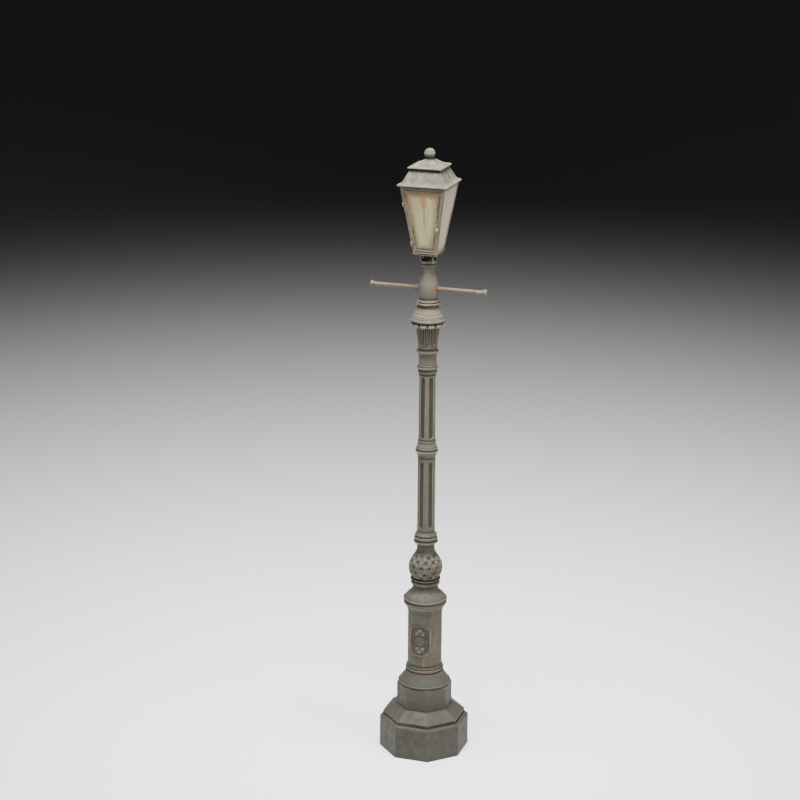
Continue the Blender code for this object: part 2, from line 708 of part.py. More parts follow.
def make_roof():
    wall = 0.0035
    outline = [
        (0.135, EAVE_BOTTOM + GAP), (EAVE_HALF, EAVE_BOTTOM + GAP), (EAVE_HALF, 4.000),
        (0.142, 4.007), (0.0965, ROOF_TOP), (0.060, ROOF_TOP), (0.060, ROOF_TOP - wall),
        (0.0935, ROOF_TOP - wall), (0.135, 4.008),
    ]
    turned("roof", outline, LANTERN_PAINT, 4, flat_front=True, smooth=False)
    low = ROOF_TOP + GAP
    outline = [
        (0.060, low), (0.1135, low), (0.1135, low + 0.011), (0.075, 4.116), (0.048, 4.131),
        (0.030, CAP_TOP), (0.0062, CAP_TOP), (0.0062, 4.138), (0.030, 4.120), (0.060, 4.105),
    ]
    turned("chimney_cap", outline, LANTERN_PAINT, 4, flat_front=True, smooth=False)
    centre = TOTAL_HEIGHT - BALL_R
    neck = 0.020
    start = -90 + acos(sqrt(1 - (neck / BALL_R) ** 2)) * 180 / pi
    outline = [(0, 4.125), (0.0058, 4.125), (0.0058, CAP_TOP + GAP), (0.029, CAP_TOP + GAP)]
    outline += [(neck, CAP_TOP + 0.003)]
    outline += arc(0, centre, BALL_R, start, 75, 8) + [(0, TOTAL_HEIGHT)]
    turned("finial", outline, LANTERN_PAINT, 20, whole=True)
    outline = [
        (0.030, EAVE_BOTTOM + GAP), (0.1345, EAVE_BOTTOM + GAP),
        (0.1345, EAVE_BOTTOM + 0.003), (0.030, EAVE_BOTTOM + 0.003),
    ]
    turned("reflector", outline, ENAMEL, 4, flat_front=True, smooth=False)


def make_lamp():
    floor = NIPPLE_HEIGHTS[1] + GAP
    outline = [
        (0.005, floor), (0.018, floor), (0.022, floor + 0.008), (0.022, 3.605),
        (0.0138, 3.605), (0.0138, floor + 0.009), (0.005, floor + 0.009),
    ]
    turned("lampholder", outline, BLACK_PLASTIC, 16)
    low = floor + 0.011
    outline = [(0, low), (0.008, low), (0.0132, low + 0.004), (0.0132, 3.602), (0.0115, 3.602)]
    outline += [(0.0115, low + 0.006), (0, low + 0.006)]
    turned("lamp_cap", outline, BRASS, 16, whole=True)
    outer = curve_through([
        (0.0145, 3.6055), (0.0155, 3.612), (0.024, 3.640), (0.030, 3.676), (0.0215, 3.706),
        (0.0, 3.716),
    ], 1)
    inner = curve_through([
        (0.0, 3.7145), (0.0203, 3.7047), (0.0285, 3.676), (0.0225, 3.640), (0.0140, 3.612),
        (0.0130, 3.6055),
    ], 1)
    turned("lamp_envelope", inner + outer, CLEAR_GLASS, 16, whole=True)


# Electrical gear in the base

def make_gear():
    box("backboard", (-0.050, -0.052, 0.680), (0.050, -0.040, 0.960), BOARD)
    cutout = box("cutout", (-0.032, -0.0397, 0.720), (0.032, 0.010, 0.900), BLACK_PLASTIC)
    socket = box("carrier_socket", (-0.0136, -0.020, 0.7794), (0.0136, 0.030, 0.8506))
    cut(cutout, socket)
    carrier = box("fuse_carrier", (-0.013, -0.0195, 0.780), (0.013, 0.0120, 0.850), ENAMEL)
    grip = box("carrier_grip", (-0.004, 0.010, 0.790), (0.004, 0.024, 0.840))
    join(carrier, grip)


def make_supply_cable():
    """The lantern's cable, from the top of the cutout up through the core to the lampholder."""
    bend = [(0, -0.012, 0.9003), (0, -0.012, 0.925), (0, -0.008, 0.965), (0, -0.002, 1.010)]
    route = curve_through(bend + [(0, 0, CORE_CABLE_START)], 3)
    straight = 24
    climb = (CORE_CABLE_END - CORE_CABLE_START) / straight
    route += [(0, 0, CORE_CABLE_START + climb * (i + 1)) for i in range(straight)]
    line = bpy.data.curves.new("supply_cable", "CURVE")
    line.dimensions = "3D"
    line.bevel_depth = CABLE_R
    line.bevel_resolution = 2
    line.use_fill_caps = True
    spline = line.splines.new("POLY")
    spline.points.add(len(route) - 1)
    for point, spot in zip(spline.points, route):
        point.co = (*spot, 1)
    add_object("supply_cable", line, BLACK_PLASTIC)


# Service door at the back of the pedestal

def radial_frame(angle, radius, z):
    """A frame on the post at an angle from +Y towards +X: Y outwards, Z up."""
    return Matrix.Rotation(-angle, 4, "Z") @ Matrix.Translation((0, radius, z))


def make_service_door():
    swing = pivot("service_door_swing", radial_frame(HINGE_ANGLE, HINGE_R, 0))
    door = sector("service_door", (PEDESTAL_BORE, PEDESTAL_R), DOOR_Z, DOOR_HALF_ANGLE,
                  PAINTED_IRON, 6)
    surface = PEDESTAL_R - HINGE_R
    for label, z in zip(("lower", "upper"), HINGE_HEIGHTS):
        low, high = z + GAP, z + 0.018
        strap = box(f"door_strap_{label}", (-0.030, surface + 0.0008, low), (0, -0.004, high))
        foot = box(f"door_strap_foot_{label}", (-0.030, surface - 0.006, low),
                   (-0.0135, surface + 0.002, high))
        barrel = rod(f"door_barrel_{label}", 0.0065, low, high, None)
        bore = rod(f"door_bore_{label}", HINGE_PIN_R + 0.0006, z - 0.01, z + 0.03, None)
        for piece in (strap, foot, barrel, bore):
            place(piece, swing.matrix_world)
        cut(join(door, strap, foot, barrel), bore)
        make_service_hinge(label, z, swing.matrix_world)
    hole = rod("lock_hole", LOCK_R + 0.0006, -0.03, 0.03, None, 16)
    cut(door, place(hole, lock_frame()))
    to_swing = swing.matrix_world.inverted()
    door.data.transform(to_swing)
    door.matrix_world = swing.matrix_world
    door.parent = swing
    door.matrix_parent_inverse = to_swing


def make_service_hinge(label, z, axis):
    """A bracket on the pedestal with an upright pin that the door lifts off."""
    surface = PEDESTAL_R - HINGE_R + GAP
    bracket = box(f"service_hinge_{label}", (-0.005, surface, z - 0.006), (0.016, 0.005, z),
                  PAINTED_IRON)
    plate = box(f"hinge_plate_{label}", (0.0085, surface, z - 0.014),
                (0.016, surface + 0.005, z + 0.018))
    pin = rod(f"hinge_pin_{label}", HINGE_PIN_R, z - 0.004, z + 0.024, None)
    for piece in (bracket, plate, pin):
        place(piece, axis)
    join(bracket, plate, pin)


def lock_frame():
    """The lock's spindle: +Z outwards through the service door."""
    outwards = Matrix.Rotation(-pi / 2, 4, "X")
    return radial_frame(-LOCK_ANGLE, PEDESTAL_R, LOCK_Z) @ outwards


def make_lock():
    """A triangular-key lock: a round head outside and a cam inside, pointing down when free."""
    outline = [(0, -0.0225), (LOCK_R, -0.0225), (LOCK_R, 0.001), (0.013, 0.001), (0.012, 0.005)]
    lock = turned("service_lock", outline + [(0, 0.005)], BRASS, 16, whole=True)
    key = rod("key_recess", 0.006, 0.002, 0.02, None, 3)
    cam = box("lock_cam", (-0.006, -0.006, -0.0225), (0.006, 0.022, -0.0185))
    for piece in (lock, key, cam):
        place(piece, lock_frame())
    cut(join(lock, cam), key)


make_base_flange()
make_tubes()
make_plinth()
make_plinth_block()
make_base_moulding()
make_pedestal()
make_plaque()
make_pedestal_ring()
make_bulb()
make_shaft("lower_shaft", BULB_COLLAR_TOP + GAP, LOWER_SHAFT_TOP, (0.0615, 0.060), 0.028, 0.0145)
make_mid_collar()
make_shaft("upper_shaft", MID_COLLAR_TOP + GAP, UPPER_SHAFT_TOP, (0.0580, 0.0560), 0.014, 0.0158)
make_shaft_crown()
make_capital()
make_neck()
make_ladder_arm("left", -pi / 2)
make_ladder_arm("right", pi / 2)
make_frog()
make_tray()
for front_back, side_y in (("front", -1), ("back", 1)):
    for left_right, side_x in (("left", -1), ("right", 1)):
        make_lantern_post(f"lantern_post_{front_back}_{left_right}", side_x, side_y)
make_head_frame()
make_panes()
make_lantern_door()
make_lantern_hinges()
make_latch()
make_roof()
make_lamp()
make_gear()
make_supply_cable()
make_service_door()
make_lock()
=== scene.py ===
"""Looks of the street lamp post: fine castings, a weathered lantern and their painted finishes.

Metres, +Z up, the origin on the ground at the post's centre, and the front towards -Y. Every
piece is modelled in place, so its object coordinates are those of the frame.
"""

from math import atan, cos, pi, radians, sin

import bmesh
import bpy
import numpy as np
from mathutils import Matrix, Vector


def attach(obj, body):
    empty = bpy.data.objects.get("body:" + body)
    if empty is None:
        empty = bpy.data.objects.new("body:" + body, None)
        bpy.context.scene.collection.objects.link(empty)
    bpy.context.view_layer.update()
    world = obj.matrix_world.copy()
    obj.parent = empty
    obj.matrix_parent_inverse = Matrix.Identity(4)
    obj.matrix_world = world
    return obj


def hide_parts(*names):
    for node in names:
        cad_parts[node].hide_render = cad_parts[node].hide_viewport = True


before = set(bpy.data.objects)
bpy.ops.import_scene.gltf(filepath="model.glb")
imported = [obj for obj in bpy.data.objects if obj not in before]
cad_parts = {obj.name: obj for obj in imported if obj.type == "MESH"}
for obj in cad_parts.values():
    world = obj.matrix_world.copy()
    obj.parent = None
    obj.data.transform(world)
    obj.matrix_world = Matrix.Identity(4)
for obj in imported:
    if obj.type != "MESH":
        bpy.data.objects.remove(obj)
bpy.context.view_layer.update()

# Driving dimensions, as in the frame
GAP = 0.0003
PLINTH_R = 0.309  # corner radius of the lower octagon
PLINTH_TOP = 0.320
BLOCK_R = 0.191
BLOCK_TOP = 0.483
MOULDING_TOP = 0.625
PEDESTAL_R = 0.118
PEDESTAL_BORE = 0.106
BASE_BORE = 0.100  # through the plinth, its block and the base moulding
PEDESTAL_TOP = 1.195
RING_TOP = 1.254
BULB_TOP = 1.490
BULB_COLLAR_TOP = 1.595
LOWER_SHAFT_TOP = 2.120
MID_COLLAR_TOP = 2.245
UPPER_SHAFT_TOP = 2.700
CROWN_TOP = 2.880
BELL_TOP = 3.030
CORNICE_TOP = 3.165
NECK_RING_TOP = 3.218
VASE_TOP = 3.455
BORE = 0.0386
SHAFT_BORE = 0.048
PANELS = 6
PANEL_TURN = radians(45.0)
PANEL_DEPTH = 0.004
PLAQUE_HALF = (0.0745, 0.1165)
PLAQUE_CORNER = 0.036
PLAQUE_CENTRE_Z = 0.818
DOOR_Z = (0.655, 0.985)
DOOR_HALF_ANGLE = radians(27.0)
DOORWAY_HALF_ANGLE = radians(27.8)
DOORWAY_GAP = 0.0015
HINGE_ANGLE = radians(32.0)
HINGE_R = 0.1275
HINGE_HEIGHTS = (0.710, 0.920)
HINGE_PIN_R = 0.0035
LOCK_ANGLE = radians(20.0)
LOCK_Z = 0.820
LOCK_R = 0.008
LADDER_BAR_Z = 3.2875
LADDER_BAR_HALF = 0.403
ARM_R = 0.0145
ARM_TIP_R = 0.0135
ARM_KNOB_R = 0.0225
ARM_SPIGOT_R = 0.008
ARM_SPIGOT_END = 0.0505
VASE_R = 0.0655
LANTERN_BOTTOM = 3.520
SILL_TOP = 3.546
HEAD_BOTTOM = 3.966
EAVE_BOTTOM = 3.985
ROOF_TOP = 4.095
CAP_TOP = 4.150
TOTAL_HEIGHT = 4.220
FACE_BOTTOM = (0.078, 3.524)
FACE_TOP = (0.1525, 3.975)
POST_WIDTH = 0.012
POST_THICKNESS = 0.003
STILE = 0.011
HEAD_INSIDE = 0.128
LAMPHOLDER_FOOT = 3.560
LAMPHOLDER_TOP = 3.605
CHIMNEY_HOLE_HALF = 0.060
EAVE_HALF = 0.1675
BALL_R = 0.0355
LEAN = atan((FACE_TOP[0] - FACE_BOTTOM[0]) / (FACE_TOP[1] - FACE_BOTTOM[1]))
SPREAD = sin(LEAN)
LATCH_Z = 3.708
LATCH_INSET = 0.019
LANTERN_HINGES = (3.600, 3.866)
LANTERN_HINGE_OUT = 0.0045
LANTERN_HINGE_SIDE = 0.001
KNUCKLE_R = 0.0045
KNUCKLE_LENGTH = 0.014
LANTERN_PIN_R = 0.002
NIPPLE_R = 0.0095
CASTING_JOINTS = (
    PLINTH_TOP, BLOCK_TOP, MOULDING_TOP, PEDESTAL_TOP, RING_TOP, BULB_TOP, BULB_COLLAR_TOP,
    LOWER_SHAFT_TOP, MID_COLLAR_TOP, UPPER_SHAFT_TOP, CROWN_TOP, BELL_TOP, CORNICE_TOP,
    NECK_RING_TOP, VASE_TOP, LANTERN_BOTTOM, EAVE_BOTTOM, ROOF_TOP, CAP_TOP,
)


# Camera, light and floor

CAMERA_AZIMUTH = radians(17.5)
CAMERA_DISTANCE = 14.07
CAMERA_HEIGHT = 6.762
CAMERA_YAW = radians(0.743)
CAMERA_PITCH = radians(16.795)
CAMERA_ROLL = radians(0.382)
LENS = 98.8
MID_HEIGHT = 2.1  # where the lights point, near the middle of the post


def make_camera():
    data = bpy.data.cameras.new("camera")
    data.lens = LENS
    data.sensor_width = 36.0
    data.clip_end = 300.0
    camera = bpy.data.objects.new("camera", data)
    bpy.context.scene.collection.objects.link(camera)
    spot = Vector((sin(CAMERA_AZIMUTH), -cos(CAMERA_AZIMUTH), 0)) * CAMERA_DISTANCE
    spot.z = CAMERA_HEIGHT
    heading = Matrix.Rotation(CAMERA_AZIMUTH + CAMERA_YAW, 4, "Z")
    tilt = Matrix.Rotation(pi / 2 - CAMERA_PITCH, 4, "X")
    roll = Matrix.Rotation(CAMERA_ROLL, 4, "Z")
    camera.matrix_world = Matrix.Translation(spot) @ heading @ tilt @ roll
    bpy.context.scene.camera = camera


def area_light(name, azimuth, elevation, distance, size, spread, power, colour):
    data = bpy.data.lights.new(name, "AREA")
    data.shape = "DISK"
    data.size = size
    data.spread = radians(spread)
    data.energy = power
    data.color = colour
    light = bpy.data.objects.new(name, data)
    bpy.context.scene.collection.objects.link(light)
    a, e = radians(azimuth), radians(elevation)
    back = Vector((sin(a) * cos(e), -cos(a) * cos(e), sin(e)))
    light.location = Vector((0, 0, MID_HEIGHT)) + back * distance
    light.rotation_mode = "QUATERNION"
    light.rotation_quaternion = back.to_track_quat("Z", "Y")


def make_studio():
    world = bpy.data.worlds.new("studio")
    world.use_nodes = True
    background = world.node_tree.nodes["Background"]
    background.inputs["Color"].default_value = (0.95, 0.97, 1.0, 1)
    background.inputs["Strength"].default_value = 0.013
    bpy.context.scene.world = world
    area_light("key", 75, 42, 9.0, 3.5, 85, 150, (1.0, 0.93, 0.88))
    area_light("overhead", 10, 80, 8.5, 4.5, 103, 1300, (1.0, 0.99, 0.98))
    area_light("fill", -45, 28, 9.0, 5.0, 85, 52, (0.97, 1.0, 0.97))
    area_light("back", 200, 50, 8.0, 5.0, 85, 40, (0.96, 0.98, 1.0))
    bm = bmesh.new()
    bmesh.ops.create_grid(bm, x_segments=1, y_segments=1, size=120)
    mesh = bpy.data.meshes.new("studio_floor")
    bm.to_mesh(mesh)
    bm.free()
    floor = bpy.data.objects.new("studio_floor", mesh)
    bpy.context.scene.collection.objects.link(floor)
    finish = bpy.data.materials.new("studio_floor")
    finish.use_nodes = True
    shader = finish.node_tree.nodes["Principled BSDF"]
    shader.inputs["Base Color"].default_value = (0.84, 0.84, 0.855, 1)
    shader.inputs["Roughness"].default_value = 0.9
    mesh.materials.append(finish)


# Node materials

class Nodes:
    """Short ways to add and link a material's nodes."""

    def __init__(self, name):
        self.material = bpy.data.materials.new(name)
        self.material.use_nodes = True
        self.tree = self.material.node_tree
        self.shader = self.tree.nodes["Principled BSDF"]
        self.coords = self.tree.nodes.new("ShaderNodeTexCoord")

    def add(self, kind, **settings):
        made = self.tree.nodes.new("ShaderNode" + kind)
        for key, value in settings.items():
            setattr(made, key, value)
        return made

    def feed(self, socket, value):
        if isinstance(value, bpy.types.NodeSocket):
            self.tree.links.new(value, socket)
        elif isinstance(value, tuple) and len(value) == 3 and socket.type == "RGBA":
            socket.default_value = (*value, 1)
        else:
            socket.default_value = value

    def stretched(self, scale):
        made = self.add("Mapping")
        self.feed(made.inputs["Vector"], self.coords.outputs["Object"])
        made.inputs["Scale"].default_value = scale
        return made.outputs["Vector"]

    def noise(self, scale, detail=4.0, rough=0.55, stretch=None):
        made = self.add("TexNoise")
        place = self.stretched(stretch) if stretch else self.coords.outputs["Object"]
        self.feed(made.inputs["Vector"], place)
        made.inputs["Scale"].default_value = scale
        made.inputs["Detail"].default_value = detail
        made.inputs["Roughness"].default_value = rough
        return made.outputs["Fac"]

    def ramp(self, value, low, high, out_low=0.0, out_high=1.0):
        made = self.add("MapRange", interpolation_type="SMOOTHSTEP")
        self.feed(made.inputs["Value"], value)
        made.inputs["From Min"].default_value = low
        made.inputs["From Max"].default_value = high
        made.inputs["To Min"].default_value = out_low
        made.inputs["To Max"].default_value = out_high
        return made.outputs["Result"]

    def math(self, operation, a, b):
        made = self.add("Math", operation=operation)
        self.feed(made.inputs[0], a)
        self.feed(made.inputs[1], b)
        return made.outputs["Value"]

    def mix(self, amount, a, b):
        made = self.add("MixRGB")
        self.feed(made.inputs["Fac"], amount)
        self.feed(made.inputs["Color1"], a)
        self.feed(made.inputs["Color2"], b)
        return made.outputs["Color"]

    def attribute(self, name):
        return self.add("Attribute", attribute_name=name).outputs["Fac"]

    def part(self, output, axis):
        """One axis of the Object coordinates or of the Normal."""
        split = self.add("SeparateXYZ")
        self.feed(split.inputs["Vector"], self.coords.outputs[output])
        return split.outputs[axis]

    def spot(self, centre, radii):
        """One near a point of the frame, falling to nothing at the radii from it."""
        move = self.add("VectorMath", operation="SUBTRACT")
        self.feed(move.inputs[0], self.coords.outputs["Object"])
        move.inputs[1].default_value = centre
        shrink = self.add("VectorMath", operation="DIVIDE")
        self.feed(shrink.inputs[0], move.outputs["Vector"])
        shrink.inputs[1].default_value = radii
        length = self.add("VectorMath", operation="LENGTH")
        self.feed(length.inputs[0], shrink.outputs["Vector"])
        return self.ramp(length.outputs["Value"], 1.0, 0.35)

    def bump(self, height, depth, before=None):
        made = self.add("Bump")
        made.inputs["Strength"].default_value = 1.0
        made.inputs["Distance"].default_value = depth
        self.feed(made.inputs["Height"], height)
        if before:
            self.feed(made.inputs["Normal"], before)
        return made.outputs["Normal"]

    def done(self, colour, roughness, normal):
        self.feed(self.shader.inputs["Base Color"], colour)
        self.feed(self.shader.inputs["Roughness"], roughness)
        self.feed(self.shader.inputs["Normal"], normal)
        return self.material


LOWER_DARK_TONE = (0.021, 0.0217, 0.0160)  # the tone the paint darkens to lower down the post
HOLLOW_DIRT_AND_SHADE = ((0.022, 0.019, 0.012), (0.042, 0.031, 0.020))  # the dirt and painted shade in the hollows and at the joints between castings
# brownish tone of the stained patches on the post, and of the painted shade down the lantern's left edge
STAIN_AND_SHADE_TONE = (0.115, 0.075, 0.045)
RUST = ((0.100, 0.050, 0.031), (0.155, 0.088, 0.056))
RUST_SPOTS = (  # centre and reach of each rusty patch on the post
    ((0.030, -0.118, 0.662), (0.013, 0.05, 0.050)),
    ((0.042, -0.115, 0.690), (0.012, 0.05, 0.036)),
    ((0.046, -0.115, 0.722), (0.026, 0.05, 0.016)),
    ((0.075, 0.0, 3.290), (0.050, 0.05, 0.022)),
    ((0.045, -0.08, 0.590), (0.120, 0.10, 0.016)),
    ((0.020, -0.03, 3.172), (0.075, 0.09, 0.022)),
    ((0.030, -0.03, 1.262), (0.100, 0.11, 0.010)),
)
STAIN_SPOTS = (  # centre and reach of each brownish stain on the post
    ((0.088, -0.075, 0.880), (0.032, 0.05, 0.240)),
    ((0.0, 0.0, 3.492), (0.060, 0.06, 0.030)),
    ((0.0, 0.0, 3.290), (0.550, 0.09, 0.060)),
    ((0.0, 0.0, 3.135), (0.150, 0.15, 0.065)),
    ((0.0, 0.0, 1.060), (0.160, 0.16, 0.030)),
    ((-0.07, -0.16, 0.245), (0.30, 0.20, 0.02)),
)
LANTERN_LEFT_SHADE = (  # centre and reach of each patch of painted shade down the lantern's left edge, in the stained brownish tone
    ((-0.128, -0.150, 3.905), (0.026, 0.03, 0.075)),
    ((-0.112, -0.130, 3.800), (0.020, 0.03, 0.080)),
    ((-0.082, -0.100, 3.600), (0.022, 0.03, 0.070)),
)


def weathered_paint(name, deep, middle, pale, streak_and_top_shade, wear, lies, spots=(), stains_and_shade=()):
    """Old flaking paint on cast iron: tones, dark streaks, painted shade on up-facing surfaces, darker
    towards the bottom, worn edges, dirt and painted shade in the hollows, and rust.
    """
    n = Nodes(name)
    clouds = n.noise(5.0, 5.0)
    patches = n.noise(23.0, 6.0, 0.6)
    streaks = n.noise(34.0, 5.0, 0.6, (1, 1, 0.12))
    speckle = n.noise(420.0, 3.0, 0.6)
    colour = n.mix(n.ramp(clouds, 0.35, 0.65), middle, pale)
    colour = n.mix(n.ramp(patches, 0.52, 0.72, 0.0, 0.55), colour, deep)
    colour = n.mix(n.ramp(streaks, 0.50, 0.75, 0.0, 0.45), colour, deep)
    colour = n.mix(n.ramp(streaks, 0.46, 0.30, 0.0, 0.30), colour, streak_and_top_shade)
    # Up-facing surfaces, over the pair of slopes given, turn patchily towards the dark streak tone:
    # painted shade on tops.
    upward = n.ramp(n.part("Normal", "Z"), *lies)
    top_shade = n.math("MULTIPLY", upward, n.ramp(patches, 0.25, 0.6, 0.35, 0.85))
    colour = n.mix(top_shade, colour, streak_and_top_shade)
    # Darker towards the bottom: from the capital down, more so near the ground, and with fewer worn edges
    # lower down.
    height = n.math("ADD", n.part("Object", "Z"), n.math("MULTIPLY", patches, 0.3))
    colour = n.mix(n.ramp(height, 3.2, 1.2, 0.0, 0.52), colour, LOWER_DARK_TONE)
    colour = n.mix(n.ramp(height, 0.95, 0.30, 0.0, 0.72), colour, LOWER_DARK_TONE)
    edge = n.attribute("edge")
    rubbed = n.math("MULTIPLY", edge, n.ramp(n.noise(70.0, 4.0, 0.65), 0.30, 0.60, 0.25, 1.0))
    worn = n.ramp(rubbed, 0.06, 0.60, 0.0, 0.72)
    colour = n.mix(n.math("MULTIPLY", worn, n.ramp(height, 1.2, 3.2, 0.52, 1.0)), colour, wear)
    colour = n.mix(n.ramp(rubbed, 0.75, 1.40, 0.0, 0.45), colour, tuple(1.5 * part for part in wear))
    # Hollows and the joints between castings darken: dirt and painted shade.
    hollow = n.attribute("hollow")
    grime_and_shade = n.math("MULTIPLY", hollow, n.ramp(patches, 0.30, 0.60, 0.75, 1.0))
    dirt = n.mix(n.ramp(patches, 0.45, 0.65), *HOLLOW_DIRT_AND_SHADE)
    colour = n.mix(n.ramp(grime_and_shade, 0.05, 0.60, 0.0, 0.95), colour, dirt)
    colour = n.mix(n.ramp(speckle, 0.58, 0.72, 0.0, 0.22), colour, deep)
    # Stained patches on the post; on the lantern, painted shade down its left edge in the same brownish
    # tone.
    for centre, radii in stains_and_shade:
        stain_and_shade = n.math("MULTIPLY", n.spot(centre, radii), n.ramp(streaks, 0.35, 0.60, 0.25, 0.75))
        colour = n.mix(stain_and_shade, colour, STAIN_AND_SHADE_TONE)
    rust_colour = n.mix(n.ramp(n.noise(90.0), 0.35, 0.65), *RUST)
    flakes = n.ramp(n.noise(55.0, 6.0, 0.65), 0.60, 0.70, 0.0, 0.4)
    rust = n.math("MULTIPLY", flakes, n.ramp(clouds, 0.50, 0.62))
    for centre, radii in spots:
        patch = n.math("MULTIPLY", n.spot(centre, radii), n.ramp(patches, 0.36, 0.52, 0.30, 1.0))
        rust = n.math("MAXIMUM", rust, patch)
    colour = n.mix(n.math("MULTIPLY", rust, 0.85), colour, rust_colour)
    roughness = n.ramp(patches, 0.3, 0.7, 0.62, 0.84)
    grain = n.bump(n.noise(600.0, 4.0, 0.6), 0.00035)
    pits = n.bump(n.ramp(n.noise(120.0, 5.0, 0.6), 0.35, 0.65), 0.00045, grain)
    n.shader.inputs["Specular IOR Level"].default_value = 0.35
    return n.done(colour, roughness, pits)


GLASS_STAINS = (  # centre, reach and tone of each run and patch on the door's pane
    ((0.002, -0.142, 3.900), (0.030, 0.05, 0.095), (0.36, 0.18, 0.075)),
    ((0.004, -0.125, 3.790), (0.011, 0.05, 0.170), (0.33, 0.15, 0.055)),
    ((-0.035, -0.110, 3.740), (0.022, 0.05, 0.130), (0.40, 0.42, 0.22)),
    ((-0.095, -0.120, 3.800), (0.030, 0.05, 0.160), (0.26, 0.19, 0.10)),
    ((0.070, -0.140, 3.925), (0.040, 0.05, 0.030), (0.33, 0.18, 0.08)),
    ((-0.075, -0.092, 3.600), (0.022, 0.05, 0.055), (0.13, 0.085, 0.045)),
    ((-0.120, -0.145, 3.910), (0.024, 0.05, 0.070), (0.15, 0.10, 0.055)),
    ((0.080, -0.120, 3.760), (0.012, 0.05, 0.160), (0.30, 0.27, 0.16)),
)


def dusty_glass():
    """Frosted panes under a cream film, streaked with rust, with painted shadow, brownish to near black,
    towards their rims, and painted light on the pane that faces +X.
    """
    n = Nodes("dusty_glass")
    film = n.noise(9.0, 4.0, 0.5, (1, 1, 0.35))
    streaks = n.noise(26.0, 5.0, 0.6, (1, 1, 0.10))
    mottle = n.noise(60.0, 6.0, 0.65)
    colour = n.mix(n.ramp(film, 0.35, 0.65), (0.40, 0.39, 0.20), (0.56, 0.46, 0.25))
    colour = n.mix(n.ramp(streaks, 0.50, 0.66, 0.0, 0.70), colour, (0.44, 0.30, 0.13))
    colour = n.mix(n.ramp(streaks, 0.46, 0.36, 0.0, 0.60), colour, (0.44, 0.46, 0.27))
    colour = n.mix(n.ramp(mottle, 0.52, 0.72, 0.0, 0.35), colour, (0.32, 0.26, 0.13))
    # The pane that faces +X, towards the key light, is painted paler and pinker: painted light.
    lit_side = n.ramp(n.part("Normal", "X"), 0.5, 0.9, 0.0, 0.85)
    lit_side_colour = n.mix(n.ramp(streaks, 0.4, 0.6), (0.58, 0.48, 0.39), (0.46, 0.38, 0.29))
    colour = n.mix(lit_side, colour, lit_side_colour)
    ragged = n.math("SUBTRACT", mottle, 0.5)
    edge = n.math("ADD", n.attribute("rim"), n.math("MULTIPLY", ragged, 0.05))
    front = n.math("SUBTRACT", 1.0, lit_side)
    # Panes other than the +X one get painted shadow towards their rims, brownish and then near black next
    # to the frame.
    rim_shadow = n.math("MULTIPLY", front, n.ramp(edge, 0.052, 0.004, 0.0, 0.88))
    colour = n.mix(rim_shadow, colour, (0.17, 0.115, 0.050))
    black = n.math("MULTIPLY", front, n.ramp(edge, 0.016, 0.000, 0.0, 0.9))
    colour = n.mix(black, colour, (0.050, 0.033, 0.018))
    # Then darker bands across the top and bottom of those panes.
    height = n.math("ADD", n.part("Object", "Z"), n.math("MULTIPLY", ragged, 0.02))
    for start, full, tone in ((3.923, 3.945, (0.25, 0.17, 0.08)), (3.574, 3.566, (0.06, 0.042, 0.025))):
        band = n.math("MULTIPLY", front, n.ramp(height, start, full, 0.0, 0.8))
        colour = n.mix(band, colour, tone)
    for centre, radii, tone in GLASS_STAINS:
        run = n.math("MULTIPLY", n.spot(centre, radii), n.ramp(mottle, 0.30, 0.60, 0.30, 0.85))
        colour = n.mix(run, colour, tone)
    n.shader.inputs["Transmission Weight"].default_value = 0.12
    n.shader.inputs["IOR"].default_value = 1.45
    return n.done(colour, n.ramp(mottle, 0.3, 0.7, 0.30, 0.55), n.bump(mottle, 0.0003))


def plain_finish(name, first, second, scale, roughness, metallic=0.0, grain=0.0002, stretch=None):
    """A finish of two near tones with a fine grain."""
    n = Nodes(name)
    tone = n.noise(scale, 5.0, 0.6, stretch)
    colour = n.mix(n.ramp(tone, 0.35, 0.65), first, second)
    dirt = n.ramp(n.noise(scale * 3.1, 4.0, 0.6), 0.55, 0.75, 0.0, 0.35)
    colour = n.mix(dirt, colour, tuple(0.35 * part for part in first))
    n.shader.inputs["Metallic"].default_value = metallic
    rough = n.ramp(tone, 0.3, 0.7, roughness - 0.08, roughness + 0.10)
    return n.done(colour, rough, n.bump(n.noise(scale * 9.0), grain))


def clear_glass():
    n = Nodes("clear_glass")
    dust = n.ramp(n.noise(60.0, 5.0, 0.6), 0.45, 0.75, 0.0, 0.5)
    colour = n.mix(dust, (0.93, 0.95, 0.94), (0.62, 0.60, 0.52))
    n.shader.inputs["Transmission Weight"].default_value = 0.95
    n.shader.inputs["IOR"].default_value = 1.46
    return n.done(colour, n.ramp(dust, 0.0, 0.5, 0.04, 0.35), n.bump(dust, 0.0001))


